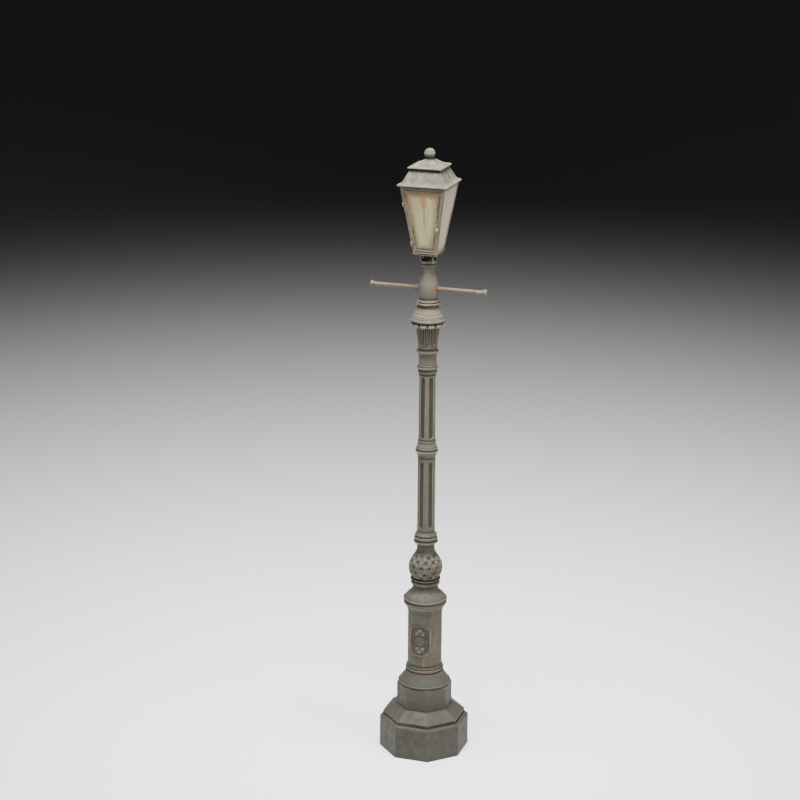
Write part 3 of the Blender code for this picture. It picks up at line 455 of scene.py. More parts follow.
FINISHES = {
    "post_paint": weathered_paint(
        "post_paint", (0.055, 0.053, 0.037), (0.096, 0.091, 0.066), (0.130, 0.120, 0.089),
        (0.062, 0.059, 0.044), (0.215, 0.200, 0.155), (0.10, 0.65), RUST_SPOTS, STAIN_SPOTS,
    ),
    "lantern_paint": weathered_paint(
        "lantern_paint", (0.075, 0.068, 0.046), (0.135, 0.126, 0.090), (0.180, 0.160, 0.116),
        (0.040, 0.039, 0.030), (0.34, 0.300, 0.225), (0.10, 0.50), (), LANTERN_LEFT_SHADE,
    ),
    "dusty_glass": dusty_glass(),
    "clear_glass": clear_glass(),
    "galvanised_steel": plain_finish(
        "galvanised_steel", (0.36, 0.37, 0.38), (0.50, 0.51, 0.52), 40.0, 0.48, 0.85,
    ),
    "brass": plain_finish("brass", (0.33, 0.27, 0.16), (0.46, 0.39, 0.26), 90.0, 0.50, 0.7),
    "white_enamel": plain_finish("white_enamel", (0.62, 0.61, 0.56), (0.74, 0.73, 0.68), 14.0, 0.32),
    "black_plastic": plain_finish(
        "black_plastic", (0.022, 0.022, 0.022), (0.040, 0.038, 0.036), 60.0, 0.48,
    ),
    "white_ceramic": plain_finish("white_ceramic", (0.66, 0.64, 0.58), (0.76, 0.75, 0.70), 30.0, 0.22),
    "board": plain_finish(
        "board", (0.15, 0.09, 0.05), (0.25, 0.16, 0.09), 60.0, 0.72, 0.0, 0.0004, (1, 1, 0.08),
    ),
}


# Outlines

def arc(centre_r, centre_z, radius, start, end, steps=10):
    turns = [radians(start + (end - start) * i / steps) for i in range(steps + 1)]
    return [(centre_r + radius * cos(t), centre_z + radius * sin(t)) for t in turns]


def curve_through(points, steps=7):
    """A smooth curve through points, with some steps from each to the next."""
    vectors = [Vector(p) for p in points]
    ends = [vectors[0]] + vectors + [vectors[-1]]
    found = []
    for a, b, c, d in zip(ends, ends[1:], ends[2:], ends[3:]):
        for step in range(steps):
            t = step / steps
            bend = (2 * a - 5 * b + 4 * c - d) * t * t + (3 * b - a - 3 * c + d) * t**3
            found.append(tuple(b + 0.5 * ((c - a) * t + bend)))
    return found + [tuple(vectors[-1])]


def softened(outline, radius=0.0016, closed=True, steps=3):
    """Rounds an outline's corners, with a point beyond each rounding that keeps wear close to it."""
    points = [Vector(p) for p in outline]
    found = []
    for i, here in enumerate(points):
        if not closed and i in (0, len(points) - 1):
            found.append(here)
            continue
        before, after = points[i - 1], points[(i + 1) % len(points)]
        back, ahead = before - here, after - here
        if back.length < 1e-7 or ahead.length < 1e-7:
            continue
        if back.angle(ahead) > radians(158):
            found.append(here)
            continue
        reach = min(radius, 0.45 * back.length, 0.45 * ahead.length)
        start, end = here + back.normalized() * reach, here + ahead.normalized() * reach
        guard = min(2.6 * radius, 0.49 * back.length)
        if guard > 1.3 * reach:
            found.append(here + back.normalized() * guard)
        for step in range(steps + 1):
            t = step / steps
            found.append(start * (1 - t) ** 2 + here * 2 * t * (1 - t) + end * t * t)
        guard = min(2.6 * radius, 0.49 * ahead.length)
        if guard > 1.3 * reach:
            found.append(here + ahead.normalized() * guard)
    return [tuple(p) for p in found]


def filled_in(outline, spacing, closed=True):
    """Adds points so that none lie further apart than the spacing."""
    pairs = list(zip(outline, outline[1:] + (outline[:1] if closed else [])))
    found = []
    for a, b in pairs:
        parts = max(1, int(np.hypot(b[0] - a[0], b[1] - a[1]) / spacing + 0.5))
        found += [(a[0] + (b[0] - a[0]) * i / parts, a[1] + (b[1] - a[1]) * i / parts)
                  for i in range(parts)]
    if not closed:
        found.append(outline[-1])
    return found


# Cross-sections: each point of one is radius * first + second, in the XY plane

def facing(angle):
    """The direction at an angle from -Y towards +X."""
    return np.stack([np.sin(angle), -np.cos(angle)], axis=-1)


def round_section(angles):
    turns = np.asarray(angles, float)
    return facing(turns), np.zeros((len(turns), 2))


def even_section(count):
    return round_section(np.arange(count) * 2 * pi / count)


def polygon_section(sides, corner, parts=6):
    """A polygon with rounded corners and a flat towards -Y, by the radius of its flats."""
    half = pi / sides
    firsts, seconds = [], []
    for k in range(sides):
        axis = facing(np.array(half + 2 * half * k))
        for turn in np.linspace(-half, half, 5):
            bend = facing(np.array(half + 2 * half * k + turn))
            firsts.append(axis / cos(half))
            seconds.append(corner * (bend - axis / cos(half)))
    first, second = np.array(firsts), np.array(seconds)
    columns_u, columns_v = [], []
    fractions = [0.0, 0.015, 0.05] + [i / parts for i in range(1, parts)] + [0.95, 0.985]
    for i in range(len(first)):
        j = (i + 1) % len(first)
        shares = fractions if i % 5 == 4 else [0.0]
        for t in shares:
            columns_u.append(first[i] * (1 - t) + first[j] * t)
            columns_v.append(second[i] * (1 - t) + second[j] * t)
    return np.array(columns_u), np.array(columns_v)


ROUND = even_section(112)
OCTAGON = polygon_section(8, 0.003)
SQUARE = polygon_section(4, 0.0018, 8)


# Meshes

def ramp(value, low, high):
    t = np.clip((value - low) / (high - low), 0, 1)
    return t * t * (3 - 2 * t)


def bulge(value, width):
    return np.exp(-((value / width) ** 2))


def add_object(name, mesh):
    made = bpy.data.objects.new(name, mesh)
    bpy.context.scene.collection.objects.link(made)
    return made


BROAD_HOLLOW = 2.8  # how strongly the wide share of a bend counts against its sharp share; it widens the dirt and painted shade in hollows
BROAD_EDGE = 1.15
EDGE_FLOOR = 0.26  # how much a plainly round surface stands out


def marked(mesh, sunk=None, reach=110.0, spread=1):
    """Stores how far each point stands out (edge) or sits in a hollow (hollow), for the paint; hollow also
    rises at the joints between castings and darkens the paint as dirt and painted shade.
    """
    count = len(mesh.vertices)
    places = np.empty(count * 3)
    mesh.vertices.foreach_get("co", places)
    places = places.reshape(-1, 3)
    normals = np.empty(count * 3)
    mesh.vertices.foreach_get("normal", normals)
    normals = normals.reshape(-1, 3)
    pairs = np.empty(len(mesh.edges) * 2, np.int32)
    mesh.edges.foreach_get("vertices", pairs)
    a, b = pairs.reshape(-1, 2).T
    step = places[b] - places[a]
    span = (step**2).sum(1) + 1e-10
    bend = np.bincount(a, (normals[a] * step).sum(1) / span, count)
    bend += np.bincount(b, (normals[b] * -step).sum(1) / span, count)
    degree = np.bincount(a, minlength=count) + np.bincount(b, minlength=count)
    bend = np.clip(bend / np.maximum(degree, 1) / reach, -1.2, 1.2)

    def averaged(values, times):
        for _ in range(times):
            around = np.bincount(a, values[b], count) + np.bincount(b, values[a], count)
            values = 0.5 * values + 0.5 * around / np.maximum(degree, 1)
        return values

    fine = averaged(bend, spread)
    broad = averaged(fine, int(np.clip(0.012 / np.sqrt(np.median(span)), 1, 10)))
    hollow = np.clip(np.maximum(fine, BROAD_HOLLOW * broad), 0, 1)
    # The paint darkens at each joint between castings: dirt and painted shade between the parts.
    for joint in CASTING_JOINTS:
        hollow = np.maximum(hollow, 0.9 * bulge(places[:, 2] - joint, 0.0045))
    # Sunk relief darkens too: dirt and painted shade in its recesses.
    if sunk is not None:
        hollow = np.maximum(hollow, np.clip(sunk / 0.003, 0, 1) * 0.9)
    edge = np.clip(np.maximum(-fine, -BROAD_EDGE * broad) - EDGE_FLOOR, 0, 1)
    if sunk is not None:
        edge = np.maximum(edge, np.clip(-sunk / 0.0012, 0, 2) * 0.8)
    for name, values in (("hollow", hollow), ("edge", edge)):
        kept = mesh.attributes.new(name, "FLOAT", "POINT")
        kept.data.foreach_set("value", values.astype(np.float32))


def smooth(mesh):
    mesh.shade_smooth()
    mesh.set_sharp_from_angle(angle=radians(42))


def loft(name, rings, poles=None, sunk=None):
    """Quads between rings of points. The rings join up in a loop, or close on two poles."""
    rows, columns = rings.shape[:2]
    index = np.arange(rows * columns).reshape(rows, columns)
    low, high = (index, np.roll(index, -1, 0)) if poles is None else (index[:-1], index[1:])
    quads = np.stack([low, np.roll(low, -1, 1), np.roll(high, -1, 1), high], axis=-1)
    points = rings.reshape(-1, 3).tolist()
    faces = quads.reshape(-1, 4).tolist()
    if poles is not None:
        first, last = index[0], index[-1]
        foot, top = len(points), len(points) + 1
        points += [tuple(pole) for pole in poles]
        faces += [(int(b), int(a), foot) for a, b in zip(first, np.roll(first, -1))]
        faces += [(int(a), int(b), top) for a, b in zip(last, np.roll(last, -1))]
        if sunk is not None:
            sunk = np.append(sunk.ravel(), [0, 0])
    mesh = bpy.data.meshes.new(name)
    mesh.from_pydata(points, [], faces)
    marked(mesh, None if sunk is None else sunk.ravel())
    smooth(mesh)
    return add_object(name, mesh)


def turned(name, outline, section=ROUND, relief=None, whole=False, spacing=0.012, soft=0.0016):
    """An outline of (radius, height) carried round Z, with a relief of (angle, radius, height)."""
    closed = not whole
    profile = np.array(filled_in(softened(outline, soft, closed), spacing, closed))
    ahead, behind = np.roll(profile, -1, 0), np.roll(profile, 1, 0)
    if whole:
        ahead[-1], behind[0] = profile[-1], profile[0]
    along = ahead - behind
    along /= np.maximum(np.linalg.norm(along, axis=1, keepdims=True), 1e-9)
    first, second = section
    radius = profile[:, 0][:, None]
    height = np.repeat(profile[:, 1][:, None], len(first), 1)
    flat = radius[:, :, None] * first[None] + second[None]
    sunk = None
    if relief:
        angle = np.arctan2(flat[..., 0], -flat[..., 1])
        raised = relief(angle, radius, height)
        way = facing(angle)
        flat = flat + way * (raised * along[:, 1][:, None])[..., None]
        height = height - raised * along[:, 0][:, None]
        sunk = np.maximum(-raised, -0.0014)
    rings = np.concatenate([flat, height[..., None]], axis=-1)
    if whole:
        poles = ((0, 0, profile[0, 1]), (0, 0, profile[-1, 1]))
        return loft(name, rings[1:-1], poles, None if sunk is None else sunk[1:-1])
    return loft(name, rings, sunk=sunk)


def from_bmesh(name, bm, soft=0.0008):
    """A closed mesh with its edges rounded by a bevel."""
    bmesh.ops.remove_doubles(bm, verts=bm.verts, dist=1e-6)
    bmesh.ops.recalc_face_normals(bm, faces=bm.faces)
    if soft:
        sharp = [e for e in bm.edges if len(e.link_faces) == 2 and e.calc_face_angle() > radians(30)]
        bmesh.ops.bevel(
            bm, geom=sharp, offset=soft, segments=2, affect="EDGES", profile=0.6, clamp_overlap=True,
        )
    mesh = bpy.data.meshes.new(name)
    bm.to_mesh(mesh)
    bm.free()
    marked(mesh, None, 200.0, 0)
    smooth(mesh)
    return add_object(name, mesh)


def box(name, low, high, soft=0.0008):
    bm = bmesh.new()
    bmesh.ops.create_cube(bm, size=1)
    size = Vector(high) - Vector(low)
    bmesh.ops.scale(bm, vec=size, verts=bm.verts)
    bmesh.ops.translate(bm, vec=(Vector(high) + Vector(low)) / 2, verts=bm.verts)
    return from_bmesh(name, bm, soft)


def moved(made, matrix):
    """Moves a piece's mesh, so that its object stays at the origin of the frame."""
    made.data.transform(matrix)
    return made


def cut(target, other):
    """Cuts another object out of a piece by an exact Boolean, and removes it."""
    step = target.modifiers.new("cut", "BOOLEAN")
    step.operation = "DIFFERENCE"
    step.solver = "EXACT"
    step.object = other
    bpy.context.view_layer.update()
    graph = bpy.context.evaluated_depsgraph_get()
    mesh = bpy.data.meshes.new_from_object(target.evaluated_get(graph))
    target.modifiers.clear()
    target.data = mesh
    for name in ("hollow", "edge"):
        mesh.attributes.remove(mesh.attributes[name])
    marked(mesh)
    smooth(mesh)
    bpy.data.objects.remove(other)
    return target


def dress(made, slot, body, *nodes):
    """Gives a piece its finish and body, and hides the CAD nodes it stands for."""
    made.data.materials.clear()
    made.data.materials.append(FINISHES[slot])
    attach(made, body)
    if nodes:
        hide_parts(*nodes)
    return made


def casting(node, outline, section=ROUND, relief=None, spacing=0.006, soft=0.0008):
    """One turned casting of the post."""
    made = turned(f"{node}_casting", outline, section, relief, spacing=spacing, soft=soft)
    return dress(made, "post_paint", "post", node)


def square_casting(name, node, outline, spacing=0.006, soft=0.0006):
    """A four-sided piece of the lantern that is mitred at its corners."""
    made = turned(name, outline, SQUARE, spacing=spacing, soft=soft)
    return dress(made, "lantern_paint", "post", node)


def fit(made, spot, slot, body, *nodes):
    """Places a piece that was made at the origin, and dresses it."""
    return dress(moved(made, spot), slot, body, *nodes)


# Base castings

def corner_radii(outline):
    """An octagon's outline given by its corners, as turned() wants it by its flats."""
    return [(r * cos(pi / 8), z) for r, z in outline]


def make_plinth():
    outline = corner_radii([
        (0.287, 0), (PLINTH_R, 0), (PLINTH_R, 0.225), (0.300, 0.232),
        (0.280, 0.236), (0.280, 0.257), (0.288, 0.262), (BLOCK_R + 0.001, PLINTH_TOP),
        (BASE_BORE, PLINTH_TOP), (BASE_BORE, 0.306), (0.180, 0.306), (0.262, 0.256),
        (0.262, 0.232), (0.287, 0.222),
    ])
    casting("plinth", outline, OCTAGON, spacing=0.012, soft=0.0026)
    low = PLINTH_TOP + GAP
    outline = corner_radii([
        (0.172, low), (BLOCK_R, low), (BLOCK_R, BLOCK_TOP - 0.005), (BLOCK_R - 0.005, BLOCK_TOP),
        (BASE_BORE, BLOCK_TOP), (BASE_BORE, BLOCK_TOP - 0.015), (0.172, BLOCK_TOP - 0.015),
    ])
    casting("plinth_block", outline, OCTAGON, spacing=0.012, soft=0.0022)


def make_base_moulding():
    low = BLOCK_TOP + GAP
    outline = [(BASE_BORE, low), (0.171, low)]
    outline += arc(0.1745, low + 0.0075, 0.0075, -75, 70)
    outline += [(0.1705, low + 0.0165)]
    outline += curve_through([(0.168, 0.504), (0.156, 0.524), (0.140, 0.548), (0.130, 0.574)])
    outline += [(0.1235, 0.5775), (0.1220, 0.5810)]
    outline += arc(0.1205, 0.5915, 0.0112, -68, 66, 12)
    outline += [(0.1205, 0.6035), (0.1200, 0.6065)]
    outline += arc(0.1200, 0.6120, 0.0050, -60, 80, 8)
    outline += [(0.1190, 0.6180), (0.1185, MOULDING_TOP - GAP), (BASE_BORE, MOULDING_TOP - GAP)]
    casting("base_moulding", outline, even_section(128), spacing=0.008, soft=0.0012)


def sector_bmesh(radii, heights, middle, half_angle, steps):
    """A stretch of tube wall about the direction at an angle from -Y towards +X."""
    (inner, outer), (low, high) = radii, heights
    outline = filled_in([(inner, low), (outer, low), (outer, high), (inner, high)], 0.012)
    bm = bmesh.new()
    columns = []
    for angle in np.linspace(middle - half_angle, middle + half_angle, steps + 1):
        x, y = facing(angle)
        columns.append([bm.verts.new((x * r, y * r, z)) for r, z in outline])
    count = len(outline)
    for left, right in zip(columns, columns[1:]):
        for k in range(count):
            bm.faces.new((left[k], right[k], right[(k + 1) % count], left[(k + 1) % count]))
    bm.faces.new(columns[0][::-1])
    bm.faces.new(columns[-1])
    return bm


def make_pedestal():
    low = MOULDING_TOP
    outline = [(PEDESTAL_BORE, low), (PEDESTAL_R, low), (PEDESTAL_R, 1.017)]
    outline += [(0.1185, 1.0195), (0.1220, 1.0225), (0.1230, 1.026), (0.1230, 1.032)]
    outline += [(0.1215, 1.0345), (0.1235, 1.0375), (0.126, 1.042)]
    outline += curve_through([(0.132, 1.051), (0.143, 1.063), (0.1485, 1.078), (0.1460, 1.088)])
    outline += [(0.1420, 1.0905), (0.1422, 1.0930)]
    outline += arc(0.1425, 1.1025, 0.0080, -60, 75, 8)
    outline += curve_through([
        (0.1400, 1.1125), (0.130, 1.129), (0.1125, 1.144), (0.097, 1.160), (0.0895, 1.175),
        (0.087, PEDESTAL_TOP),
    ])
    outline += [(BORE, PEDESTAL_TOP), (BORE, 1.156), (0.086, 1.153), (0.086, 1.130)]
    outline += [(PEDESTAL_BORE, 1.110)]
    pedestal = turned("pedestal_casting", outline, even_section(144), soft=0.0010)
    heights = (DOOR_Z[0] - DOORWAY_GAP, DOOR_Z[1] + DOORWAY_GAP)
    cutter = from_bmesh("doorway", sector_bmesh((0.1, 0.13), heights, pi, DOORWAY_HALF_ANGLE, 30), 0)
    dress(cut(pedestal, cutter), "post_paint", "post", "pedestal")


def octagon_distance(x, z):
    """How far inside the plaque's outline a point lies."""
    right, top = PLAQUE_HALF
    corner = (right + top - PLAQUE_CORNER - np.abs(x) - np.abs(z)) / np.sqrt(2)
    return np.minimum(np.minimum(right - np.abs(x), top - np.abs(z)), corner)


def palmette(x, z, size):
    """A fan of five leaves that opens upwards."""
    reach = np.hypot(x, z)
    turn = np.arctan2(x, z)
    leaves = np.cos(np.clip(turn, -1.35, 1.35) * 5.8) * 0.5 + 0.5
    length = size * (0.72 + 0.28 * np.cos(turn))
    return leaves * ramp(length - reach, 0.0, 0.004) * ramp(reach, 0.002, 0.007) * ramp(z, -0.004, 0.002)


def scroll(x, z, size):
    """A volute: a ridge that winds in to a boss."""
    reach = np.hypot(x, z)
    turn = np.arctan2(z, x) / (2 * pi)
    wave = np.cos(2 * pi * (turn + reach / 0.0072))
    ridge = ramp(wave, -0.2, 0.7) * ramp(size - reach, 0.0, 0.002)
    return np.maximum(ridge, bulge(reach, 0.0035))


def plaque_relief(x, z):
    """A rosette in a beaded ring, palmettes above and below it and scrolls beside them."""
    reach, turn = np.hypot(x, z), np.arctan2(z, x)
    petals = bulge(reach - 0.0135, 0.0065) * (0.55 + 0.45 * np.cos(8 * turn))
    ring = bulge(reach - 0.0275, 0.0030) * (0.80 + 0.20 * np.cos(36 * turn))
    made = 0.0026 * np.maximum(petals, bulge(reach, 0.0060)) + 0.0022 * ring
    for side in (-1, 1):
        fan = palmette(x, side * z - 0.046, 0.044)
        made = np.maximum(made, 0.0030 * fan)
        for hand in (-1, 1):
            made = np.maximum(made, 0.0022 * scroll(hand * x - 0.041, side * z - 0.043, 0.0155))
            made = np.maximum(made, 0.0020 * scroll(hand * x - 0.046, side * z - 0.012, 0.0105))
    return made


def make_plaque():
    right, top = PLAQUE_HALF
    corner = PLAQUE_CORNER
    quarter = [(right, corner - top), (right, top - corner), (right - corner, top), (corner - right, top)]
    rim = np.array(filled_in(quarter + [(-x, -z) for x, z in quarter], 0.0022))
    inside = PEDESTAL_R + GAP
    shares = np.concatenate([np.linspace(0.012, 0.90, 74), np.linspace(0.908, 1.0, 14)])
    x, z = shares[:, None] * rim[None, :, 0], shares[:, None] * rim[None, :, 1]
    depth = octagon_distance(x, z)
    raised = 0.0030 + 0.0034 * bulge(depth - 0.0062, 0.0056) + plaque_relief(x, z)
    raised -= 0.0012 * bulge(depth - 0.0145, 0.0024)
    sunk = np.clip(0.0039 - raised, -0.0012, 0.0024) * 2
    rows = [np.stack([x, -np.sqrt((inside + raised) ** 2 - x**2), PLAQUE_CENTRE_Z + z], axis=-1)]
    for share in (1.0, 0.5, 0.012):
        bx, bz = rim[:, 0] * share, rim[:, 1] * share
        rows.append(np.stack([bx, -np.sqrt(inside**2 - bx**2), PLAQUE_CENTRE_Z + bz], axis=-1)[None])
    rings = np.concatenate(rows)
    sunk = np.concatenate([sunk, np.zeros((3, len(rim)))])
    front = raised[0].mean()
    poles = ((0, -inside - front, PLAQUE_CENTRE_Z), (0, -inside, PLAQUE_CENTRE_Z))
    plaque = loft("plaque_casting", rings, poles, sunk)
    plaque.data.flip_normals()
    dress(plaque, "post_paint", "post", "plaque")


# Column castings

def bulb_relief(angle, radius, height):
    """Staggered dimples between leafy ridges, fading out towards the neck."""
    across, up = 11 * angle / (2 * pi), (height - 1.272) / 0.037
    nearest = np.full(np.broadcast(angle, radius).shape, 1.0)
    for shift in (0, 1):
        side = across - 0.5 * shift
        column = np.round(side)
        rise = up - shift
        row = np.round(rise / 2)
        stray = np.sin(column * 5.1 + row * 3.7 + shift)
        side = (side - column + 0.08 * stray) * 2 * pi * radius / 11
        rise = (rise - 2 * row) * 0.037 + 0.004 * np.cos(column * 3.3 - row * 4.9)
        nearest = np.minimum(nearest, np.hypot(side, rise) * (1 + 0.2 * stray))
    leaves = np.sin(angle * 33 + 2.3 * np.sin(height * 150))
    leaves *= np.sin(height * 300 + 2.6 * np.sin(11 * angle))
    veins = np.sin(angle * 66 + 3 * np.sin(height * 210))
    veins *= np.sin(height * 610 + 2 * np.sin(13 * angle))
    raised = 0.0004 * bulge(nearest - 0.0155, 0.0050) - 0.0068 * bulge(nearest, 0.0098)
    raised += (0.0021 * leaves + 0.0014 * veins + 0.0002) * ramp(nearest, 0.009, 0.016)
    return raised * ramp(height, 1.262, 1.274) * (1 - ramp(height, 1.410, 1.445))


def make_lower_castings():
    low = PEDESTAL_TOP + GAP
    outline = [(BORE, low), (0.087, low), (0.0885, 1.2005), (0.0880, 1.2045)]
    outline += arc(0.0835, 1.2195, 0.0167, -68, 66, 12)
    outline += [(0.0905, 1.2365), (0.0925, 1.2385), (0.0995, 1.2405), (0.1025, 1.2435)]
    outline += [(0.1030, 1.2475), (0.1020, 1.2520), (0.0985, 1.2538), (0.0955, 1.2515)]
    outline += [(0.0935, 1.2480), (0.0905, 1.2480), (0.0895, RING_TOP), (BORE, RING_TOP)]
    casting("pedestal_ring", outline, soft=0.0016)

    low = RING_TOP + GAP
    outline = [(BORE, low)] + curve_through([
        (0.0885, low), (0.0985, 1.268), (0.1095, 1.297), (0.1138, 1.328), (0.1070, 1.371),
        (0.0825, 1.413), (0.0650, 1.446), (0.0608, 1.470), (0.0605, BULB_TOP),
    ]) + [(BORE, BULB_TOP)]
    casting("bulb", outline, even_section(288), bulb_relief, spacing=0.0018, soft=0.0016)

    low = BULB_TOP + GAP
    collar = [(BORE, low), (0.0615, low)]
    collar += curve_through([(0.0635, 1.4965), (0.0715, 1.5035), (0.0795, 1.5105)])
    collar += arc(0.0803, 1.5160, 0.0046, -70, 80, 8)
    collar += [(0.0755, 1.5225), (0.0750, 1.5260)]
    collar += arc(0.0680, 1.5400, 0.0130, -58, 60, 10)
    collar += [(0.0725, 1.5535), (0.0720, 1.5565)]
    collar += arc(0.0660, 1.5660, 0.0092, -48, 60, 8)
    collar += curve_through([(0.0655, 1.5775), (0.0628, 1.5865), (0.0620, BULB_COLLAR_TOP)], 4)
    collar += [(BORE, BULB_COLLAR_TOP)]
    casting("bulb_collar", collar, soft=0.0010)


def make_shaft(name, low, high, radii, margin, panel_half):
    """A tapering shaft with sunk, round-ended panels, each in a thin raised border."""
    middle = (low + high) / 2
    straight = (high - low) / 2 - margin - panel_half
    sixth = 2 * pi / PANELS

    def relief(angle, radius, height):
        across = ((angle - PANEL_TURN + sixth / 2) % sixth - sixth / 2) * radius
        beyond = np.maximum(np.abs(height - middle) - straight, 0)
        depth = np.hypot(across, beyond) - panel_half
        border = 0.0009 * bulge(depth - 0.0018, 0.0014)
        rib = 0.0005 * bulge(np.abs(across) - (sixth / 2 * radius), 0.0035)
        return border + rib - PANEL_DEPTH * (1 - ramp(depth, -0.0012, 0.0004))

    outline = [(SHAFT_BORE, low), (radii[0], low), (radii[1], high), (SHAFT_BORE, high)]
    edge = panel_half / radii[0]
    share = [0, 0.3, 0.6, 0.8, 0.88, 0.93, 0.97, 1.0, 1.03, 1.07, 1.12, 1.18, 1.26, 1.38]
    offsets = sorted({round(s * edge * k, 6) for s in share for k in (-1, 1)} | {-sixth / 2})
    turns = [PANEL_TURN + sixth * i + offset for i in range(PANELS) for offset in offsets]
    casting(name, outline, round_section(turns), relief, spacing=0.0020, soft=0.0016)


def make_collars():
    low = LOWER_SHAFT_TOP + GAP
    outline = [(BORE, low), (0.0612, low)]
    outline += curve_through([(0.0622, 2.128), (0.0668, 2.146), (0.0730, 2.158)])
    outline += arc(0.0738, 2.1640, 0.0042, -65, 75, 8)
    outline += [(0.0705, 2.1705), (0.0700, 2.1745)]
    outline += arc(0.0672, 2.1830, 0.0068, -60, 60, 8)
    outline += [(0.0690, 2.1905), (0.0684, 2.1945)]
    outline += curve_through([(0.0675, 2.198), (0.0632, 2.212), (0.0605, 2.228)])
    outline += [(0.0622, 2.2310), (0.0622, 2.2360), (0.0600, 2.2385), (0.0592, MID_COLLAR_TOP)]
    outline += [(BORE, MID_COLLAR_TOP)]
    casting("mid_collar", outline, soft=0.0009)

    low = UPPER_SHAFT_TOP + GAP
    outline = [(BORE, low), (0.0590, low)]
    outline += arc(0.0567, 2.7200, 0.0080, -70, 70, 8)
    outline += [(0.0603, 2.7310), (0.0605, 2.7400)]
    outline += arc(0.0648, 2.7475, 0.0064, -75, 85, 8)
    outline += [(0.0620, 2.7570), (0.0633, 2.7620), (0.0615, 2.7690), (0.0600, 2.7720)]
    outline += [(0.0600, 2.8400), (0.0625, 2.8440), (0.0655, 2.8500)]
    outline += arc(0.0685, 2.8590, 0.0066, -75, 85, 8)
    outline += [(0.0645, 2.8675), (0.0635, CROWN_TOP), (BORE, CROWN_TOP)]
    casting("shaft_crown", outline)


LEAVES = 12
LEAF_FOOT = 2.912


def leaf_phase(angle):
    """Where a direction lies across the nearest leaf, from -1 to 1."""
    width = 2 * pi / LEAVES
    return ((angle + width / 2) % width - width / 2) / (width / 2)


def bell_relief(angle, radius, height):
    """Tall leaves with raised rims and a vein, dark gaps between them and round feet."""
    half = pi * radius / LEAVES
    across = leaf_phase(angle) * half
    width = half - 0.0008
    foot = np.maximum(LEAF_FOOT + width - height, 0)
    depth = width - np.hypot(across, foot)
    rim = 0.0020 * bulge(depth - 0.0024, 0.0020)
    field = -0.0021 * ramp(depth, 0.0036, 0.0062)
    vein = 0.0046 * bulge(across, 0.0024) * ramp(depth, 0.0045, 0.0070)
    gap = -0.0042 * (1 - ramp(depth, -0.0006, 0.0012)) * ramp(height, LEAF_FOOT - 0.004, LEAF_FOOT + 0.006)
    beads = 0.0012 * np.cos(angle * 2 * LEAVES) * bulge(height - 2.897, 0.006)
    return rim + field + vein + gap + beads


def cornice_relief(angle, radius, height):
    """Leaf tips that curl over in scallops under the abacus, and steps on the cone above it."""
    lobe = np.sqrt(np.clip(1 - 0.97 * leaf_phase(angle) ** 2, 0, 1))
    scallop = 0.0125 * (lobe - 0.62) * bulge(height - 3.0440, 0.0135) * ramp(radius, 0.088, 0.094)
    groove = -0.0018 * bulge(leaf_phase(angle), 0.10) * bulge(height - 3.046, 0.010)
    steps = 0.0017 * (bulge(height - 3.1125, 0.0022) + bulge(height - 3.1330, 0.0020))
    ticks = 0.0006 * np.sin(34 * angle + 260 * height) * np.sin(29 * angle - 190 * height)
    cone = (steps + ticks) * (1 - ramp(radius, 0.106, 0.112)) * ramp(height, 3.089, 3.093)
    return scallop + groove * ramp(radius, 0.088, 0.094) + cone


def make_capital():
    low = CROWN_TOP + GAP
    outline = [(BORE, low), (0.0630, low), (0.0650, 2.886), (0.0650, 2.8915), (0.0630, 2.895)]
    outline += curve_through([(0.0640, 2.905), (0.0675, 2.940), (0.0745, 2.985), (0.0805, BELL_TOP)])
    outline += [(BORE, BELL_TOP)]
    casting("capital_bell", outline, even_section(336), bell_relief, spacing=0.0018)

    low = BELL_TOP + GAP
    outline = [(BORE, low), (0.091, low)]
    outline += arc(0.0975, 3.0462, 0.0122, -75, 75, 14)
    outline += [(0.1005, 3.0620), (0.1035, 3.0660), (0.1120, 3.0715)]
    outline += arc(0.1125, 3.0800, 0.0066, -80, 70, 10)
    outline += [(0.1110, 3.0895)]
    outline += curve_through([
        (0.1090, 3.0925), (0.1045, 3.104), (0.0950, 3.121), (0.0830, 3.140), (0.0745, 3.154),
        (0.0712, CORNICE_TOP),
    ])
    outline += [(BORE, CORNICE_TOP)]
    casting("capital_cornice", outline, even_section(288), cornice_relief, spacing=0.0018)


def make_neck():
    low = CORNICE_TOP + GAP
    outline = [(BORE, low), (0.0710, low), (0.0700, 3.1710), (0.0675, 3.1775), (0.0680, 3.1815)]
    outline += arc(0.0728, 3.1875, 0.0066, -80, 80, 8)
    outline += [(0.0685, 3.1950), (0.0682, 3.1985)]
    outline += arc(0.0668, 3.2040, 0.0052, -60, 70, 8)
    outline += [(0.0615, 3.2110), (0.0572, NECK_RING_TOP), (BORE, NECK_RING_TOP)]
    casting("neck_ring", outline, spacing=0.005)
    low = NECK_RING_TOP + GAP
    outline = [(BORE, low), (0.0565, low)] + curve_through([
        (0.0580, 3.228), (0.0615, 3.244), (0.0645, 3.264), (VASE_R, 3.290), (0.0625, 3.318),
        (0.0560, 3.341), (0.0480, 3.368), (0.0415, 3.394), (0.0385, 3.416), (0.0385, 3.432),
    ])
    outline += curve_through([(0.0392, 3.437), (0.0430, 3.446), (0.0478, 3.4505)], 4)
    outline += [(0.0482, VASE_TOP), (NIPPLE_R + GAP, VASE_TOP), (NIPPLE_R + GAP, 3.345)]
    outline += [(BORE, 3.3303)]
    casting("neck_vase", outline, even_section(128), spacing=0.008)


